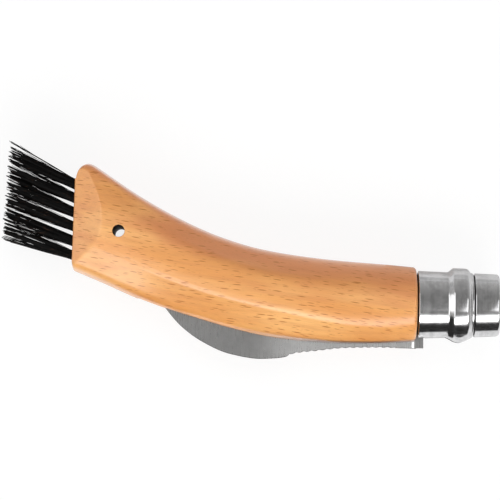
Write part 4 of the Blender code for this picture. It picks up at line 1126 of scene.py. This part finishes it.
def tuft_hairs(place, chance):
    """Centre lines of a tuft's bristles, which gather in clumps towards their trimmed tips."""
    clumps = make_clumps(chance)
    lines = []
    for hair in range(HAIRS_PER_TUFT):
        angle = 2 * math.pi * chance.random()
        share = math.sqrt(chance.random())
        down, over = share * math.cos(angle), share * math.sin(angle)
        near = min(clumps, key=lambda clump: math.hypot(clump[0] - down, clump[1] - over))
        stray = chance.random() < STRAY_SHARE
        pull = 0.0 if stray else CLUMP_PULL
        jitter = STRAY_JITTER if stray else HAIR_TIP_JITTER
        tip = ((down + (near[0] - down) * pull) * HAIR_TIP_SPREAD + near[2][0] + chance.gauss(0, jitter),
               (over + (near[1] - over) * pull) * HAIR_TIP_DEPTH + near[2][1] + chance.gauss(0, jitter))
        bend = (chance.gauss(0, HAIR_BEND), chance.gauss(0, HAIR_BEND))
        length = trim_length(place, tip) - near[3] - HAIR_UNEVENNESS * chance.random()
        if chance.random() < SHORT_SHARE:
            length -= SHORT_LOSS * chance.random()
        lines.append(hair_line(place, (down * HAIR_ROOT_SPREAD, over * HAIR_ROOT_SPREAD), tip, bend, length))
    return lines


def lifted_hairs(place, chance, edge):
    """Stray bristles that lean away from the bottom row of the brush, edge 0, or the top row, edge 1."""
    away = -1 if edge else 1
    least = LIFTED_LEAST_SHARES[edge]
    lines = []
    for hair in range(LIFTED_HAIRS[edge]):
        over = 2 * chance.random() - 1
        reach = HAIR_TIP_SPREAD + LIFTED_RISES[edge] * (least + (1 - least) * chance.random())
        tip = (away * reach, over * HAIR_TIP_DEPTH)
        bend = (away * chance.random() * HAIR_BEND, chance.gauss(0, HAIR_BEND))
        length = trim_length(place, tip) - LIFTED_LOSSES[edge] * chance.random()
        root = (away * HAIR_ROOT_SPREAD * LIFTED_ROOT_OUT, over * HAIR_ROOT_SPREAD * LIFTED_ROOT_OVER)
        lines.append(hair_line(place, root, tip, bend, length))
    return lines


def make_bristles(row, material):
    """One row of tufts as fine bristles."""
    chance = random.Random(BRUSH_SEED + row)
    verts, faces = [], []
    for column in range(TUFT_COLUMNS):
        place = tuft_frame(row, column)
        turn = place.to_3x3()
        angles = [2 * math.pi * i / HAIR_SIDES for i in range(HAIR_SIDES)]
        sides = [turn @ Vector((math.cos(angle), math.sin(angle), 0)) for angle in angles]
        lines = tuft_hairs(place, chance)
        if row in (0, TUFT_ROWS - 1):
            lines += lifted_hairs(place, chance, 1 if row else 0)
        for points in lines:
            first = len(verts)
            for centre, radius in points:
                verts += [centre + side * radius for side in sides]
            for ring in range(len(points) - 1):
                near = first + HAIR_SIDES * ring
                far = near + HAIR_SIDES
                for i in range(HAIR_SIDES):
                    j = (i + 1) % HAIR_SIDES
                    faces.append((near + i, near + j, far + j, far + i))
            faces.append(tuple(range(first + HAIR_SIDES - 1, first - 1, -1)))
            faces.append(tuple(range(len(verts) - HAIR_SIDES, len(verts))))
    name = f"bristle_row_{row + 1}"
    mesh = bpy.data.meshes.new(name)
    mesh.from_pydata(verts, [], faces)
    mesh.materials.append(material)
    bristles = add_object(name, mesh)
    bristles.location = PIVOT
    nodes = [f"tuft_r{row + 1}_c{column + 1}" for column in range(TUFT_COLUMNS)]
    finish_piece(bristles, "grip", nodes, BRISTLE_SMOOTH_DEG)


# Studio

def make_floor():
    """Pale floor that looks white and keeps the knife's shadow."""
    bm = bmesh.new()
    bmesh.ops.create_circle(bm, cap_ends=True, segments=FLOOR_STEPS, radius=FLOOR_RADIUS)
    floor = add_object("floor", mesh_from("floor", bm))
    material = bpy.data.materials.new("white_floor")
    n = Nodes(material)
    path = n.add("LightPath").outputs
    seen = n.math("ADD", path["Is Camera Ray"], path["Is Glossy Ray"])
    seen = n.math("ADD", seen, path["Is Transmission Ray"])
    seen.node.use_clamp = True
    pale = n.add("BsdfDiffuse", Color=FLOOR_PALE)
    white = n.add("Emission", Strength=FLOOR_WHITE)
    n.surface(n.blend(seen, pale, n.blend(FLOOR_WHITE_SHARE, pale, white)))
    floor.data.materials.append(material)


def make_world():
    """Studio walls: pale near the floor and greyer overhead."""
    world = bpy.data.worlds.new("studio")
    bpy.context.scene.world = world
    n = Nodes(world)
    up = n.split(n.add("TexCoord").outputs["Generated"])["Z"]
    level = n.remap(up, 0.05, 0.95, WALL_LEVEL, CEILING_LEVEL)
    n.surface(n.add("Background", Color=STUDIO_WHITE, Strength=level), "OutputWorld")


def add_lamp(name, towards, distance, size, radiance, glossy=True, diffuse=True):
    """Rectangular lamp facing the knife: size is its width and height, radiance its brightness."""
    data = bpy.data.lights.new(name, "AREA")
    data.shape = "RECTANGLE"
    data.size, data.size_y = size
    data.energy = radiance * math.pi * size[0] * size[1]
    lamp = add_object(name, data)
    direction = Vector(towards).normalized()
    lamp.location = direction * distance
    lamp.rotation_euler = direction.to_track_quat("Z", "Y").to_euler()
    lamp.visible_glossy = glossy
    lamp.visible_diffuse = diffuse


def tilted(degrees):
    """Sideways and upward parts of a direction that leans from upright."""
    return math.sin(math.radians(degrees)), math.cos(math.radians(degrees))


def make_lamps():
    """Lamps over the belly's side and overhead, and others that only mirror in the steel and the varnish."""
    reach = 0.75
    away, up = tilted(53)
    add_lamp("key_softbox", (0.12, -away, up), reach, (1.1, 0.26), 4.3)
    away, up = tilted(40)
    add_lamp("key_glow", (0, -away, up), reach, (1.1, 0.11), 0.9)
    add_lamp("overhead_fill", (0, 0.5, 1), 1.2, (1.3, 1.3), 1.25, glossy=False)
    away, up = tilted(31)
    add_lamp("brush_side_softbox", (-away, 0, up), reach, (1.0, 0.50), 1.7, diffuse=False)
    add_lamp("low_side_softbox", (-0.925, 0.045, 0.375), reach, (0.52, 0.42), 1.35, diffuse=False)
    away, up = tilted(30)
    add_lamp("collar_side_softbox", (away, -0.1, up), 0.45, (0.30, 0.16), 1.6, diffuse=False)


def add_card(name, corners, grey=0.03):
    """Grey card that only mirrors in the polished steel."""
    mesh = bpy.data.meshes.new(name)
    mesh.from_pydata(corners, [], [(0, 1, 2, 3)])
    card = add_object(name, mesh)
    material = bpy.data.materials.new(name)
    n = Nodes(material)
    n.surface(n.add("BsdfDiffuse", Color=(grey, grey, grey, 1)))
    mesh.materials.append(material)
    card.visible_camera = False
    card.visible_diffuse = False
    card.visible_shadow = False


def flat_corners(left, right, first, last, last_right=None):
    """Corners of a card just above the floor, from the first Y to the last."""
    points = ((left, first), (right, first), (last_right or right, last), (left, last))
    return [(x, y, CARD_LEVEL) for x, y in points]


def make_cards():
    near, far, left, right = -0.066, -0.60, -1.60, 0.60
    add_card("flat_card", flat_corners(left, right, far, near))
    upright = ((left, CARD_LEVEL), (right, CARD_LEVEL), (right, CARD_HEIGHT), (left, CARD_HEIGHT))
    add_card("standing_card", [(x, far, z) for x, z in upright])
    add_card("belly_card", flat_corners(-0.060, 0.0475, near, -0.030, 0.0515))
    add_card("back_card", flat_corners(-0.60, 0.60, 0.045, 0.50), 0.64)
    add_card("collar_card", flat_corners(0.040, 0.140, -0.003, 0.045), 0.88)


def make_camera():
    """The photograph's view: nearly straight down on the knife's side, a little from the belly's side."""
    data = bpy.data.cameras.new("camera")
    distance, width, tilt_deg, roll_deg = 0.9, 0.145, 3.3, 0.48
    data.lens = data.sensor_width * distance / width
    camera = add_object("camera", data)
    turn = Matrix.Rotation(math.radians(roll_deg), 4, "Z") @ Matrix.Rotation(math.radians(tilt_deg), 4, "X")
    place = Matrix.Translation(PIVOT + VIEW_CENTRE)
    camera.matrix_world = place @ turn @ Matrix.Translation((0, 0, distance))
    data.clip_start, data.clip_end = 0.01, 100.0
    bpy.context.scene.camera = camera


# The knife

beech = beech_wood()
hole_shade_beech = bare_wood()
blade_metal = blade_steel()
collar_metal = collar_steel()
pin_metal = steel("pin_steel", PIN_GREY, 0.30, (900.0, 900.0, 900.0), 0.00001)[0]
wire_metal = steel("galvanised_wire", WIRE_GREY, 0.42, (900.0, 900.0, 900.0), 0.00001)[0]
hair = bristle_hair()

make_handle(beech, hole_shade_beech)
make_ferrule(collar_metal)
make_ring(collar_metal)
make_pin(pin_metal)
make_blade(blade_metal)
for row in range(TUFT_ROWS):
    make_bristles(row, hair)
for name, node in frame["nodes"].items():
    if name.startswith("anchor_"):
        for slot in node.material_slots:
            slot.material = wire_metal

make_floor()
make_world()
make_lamps()
make_cards()
make_camera()
bpy.context.scene.view_settings.view_transform = "Standard"
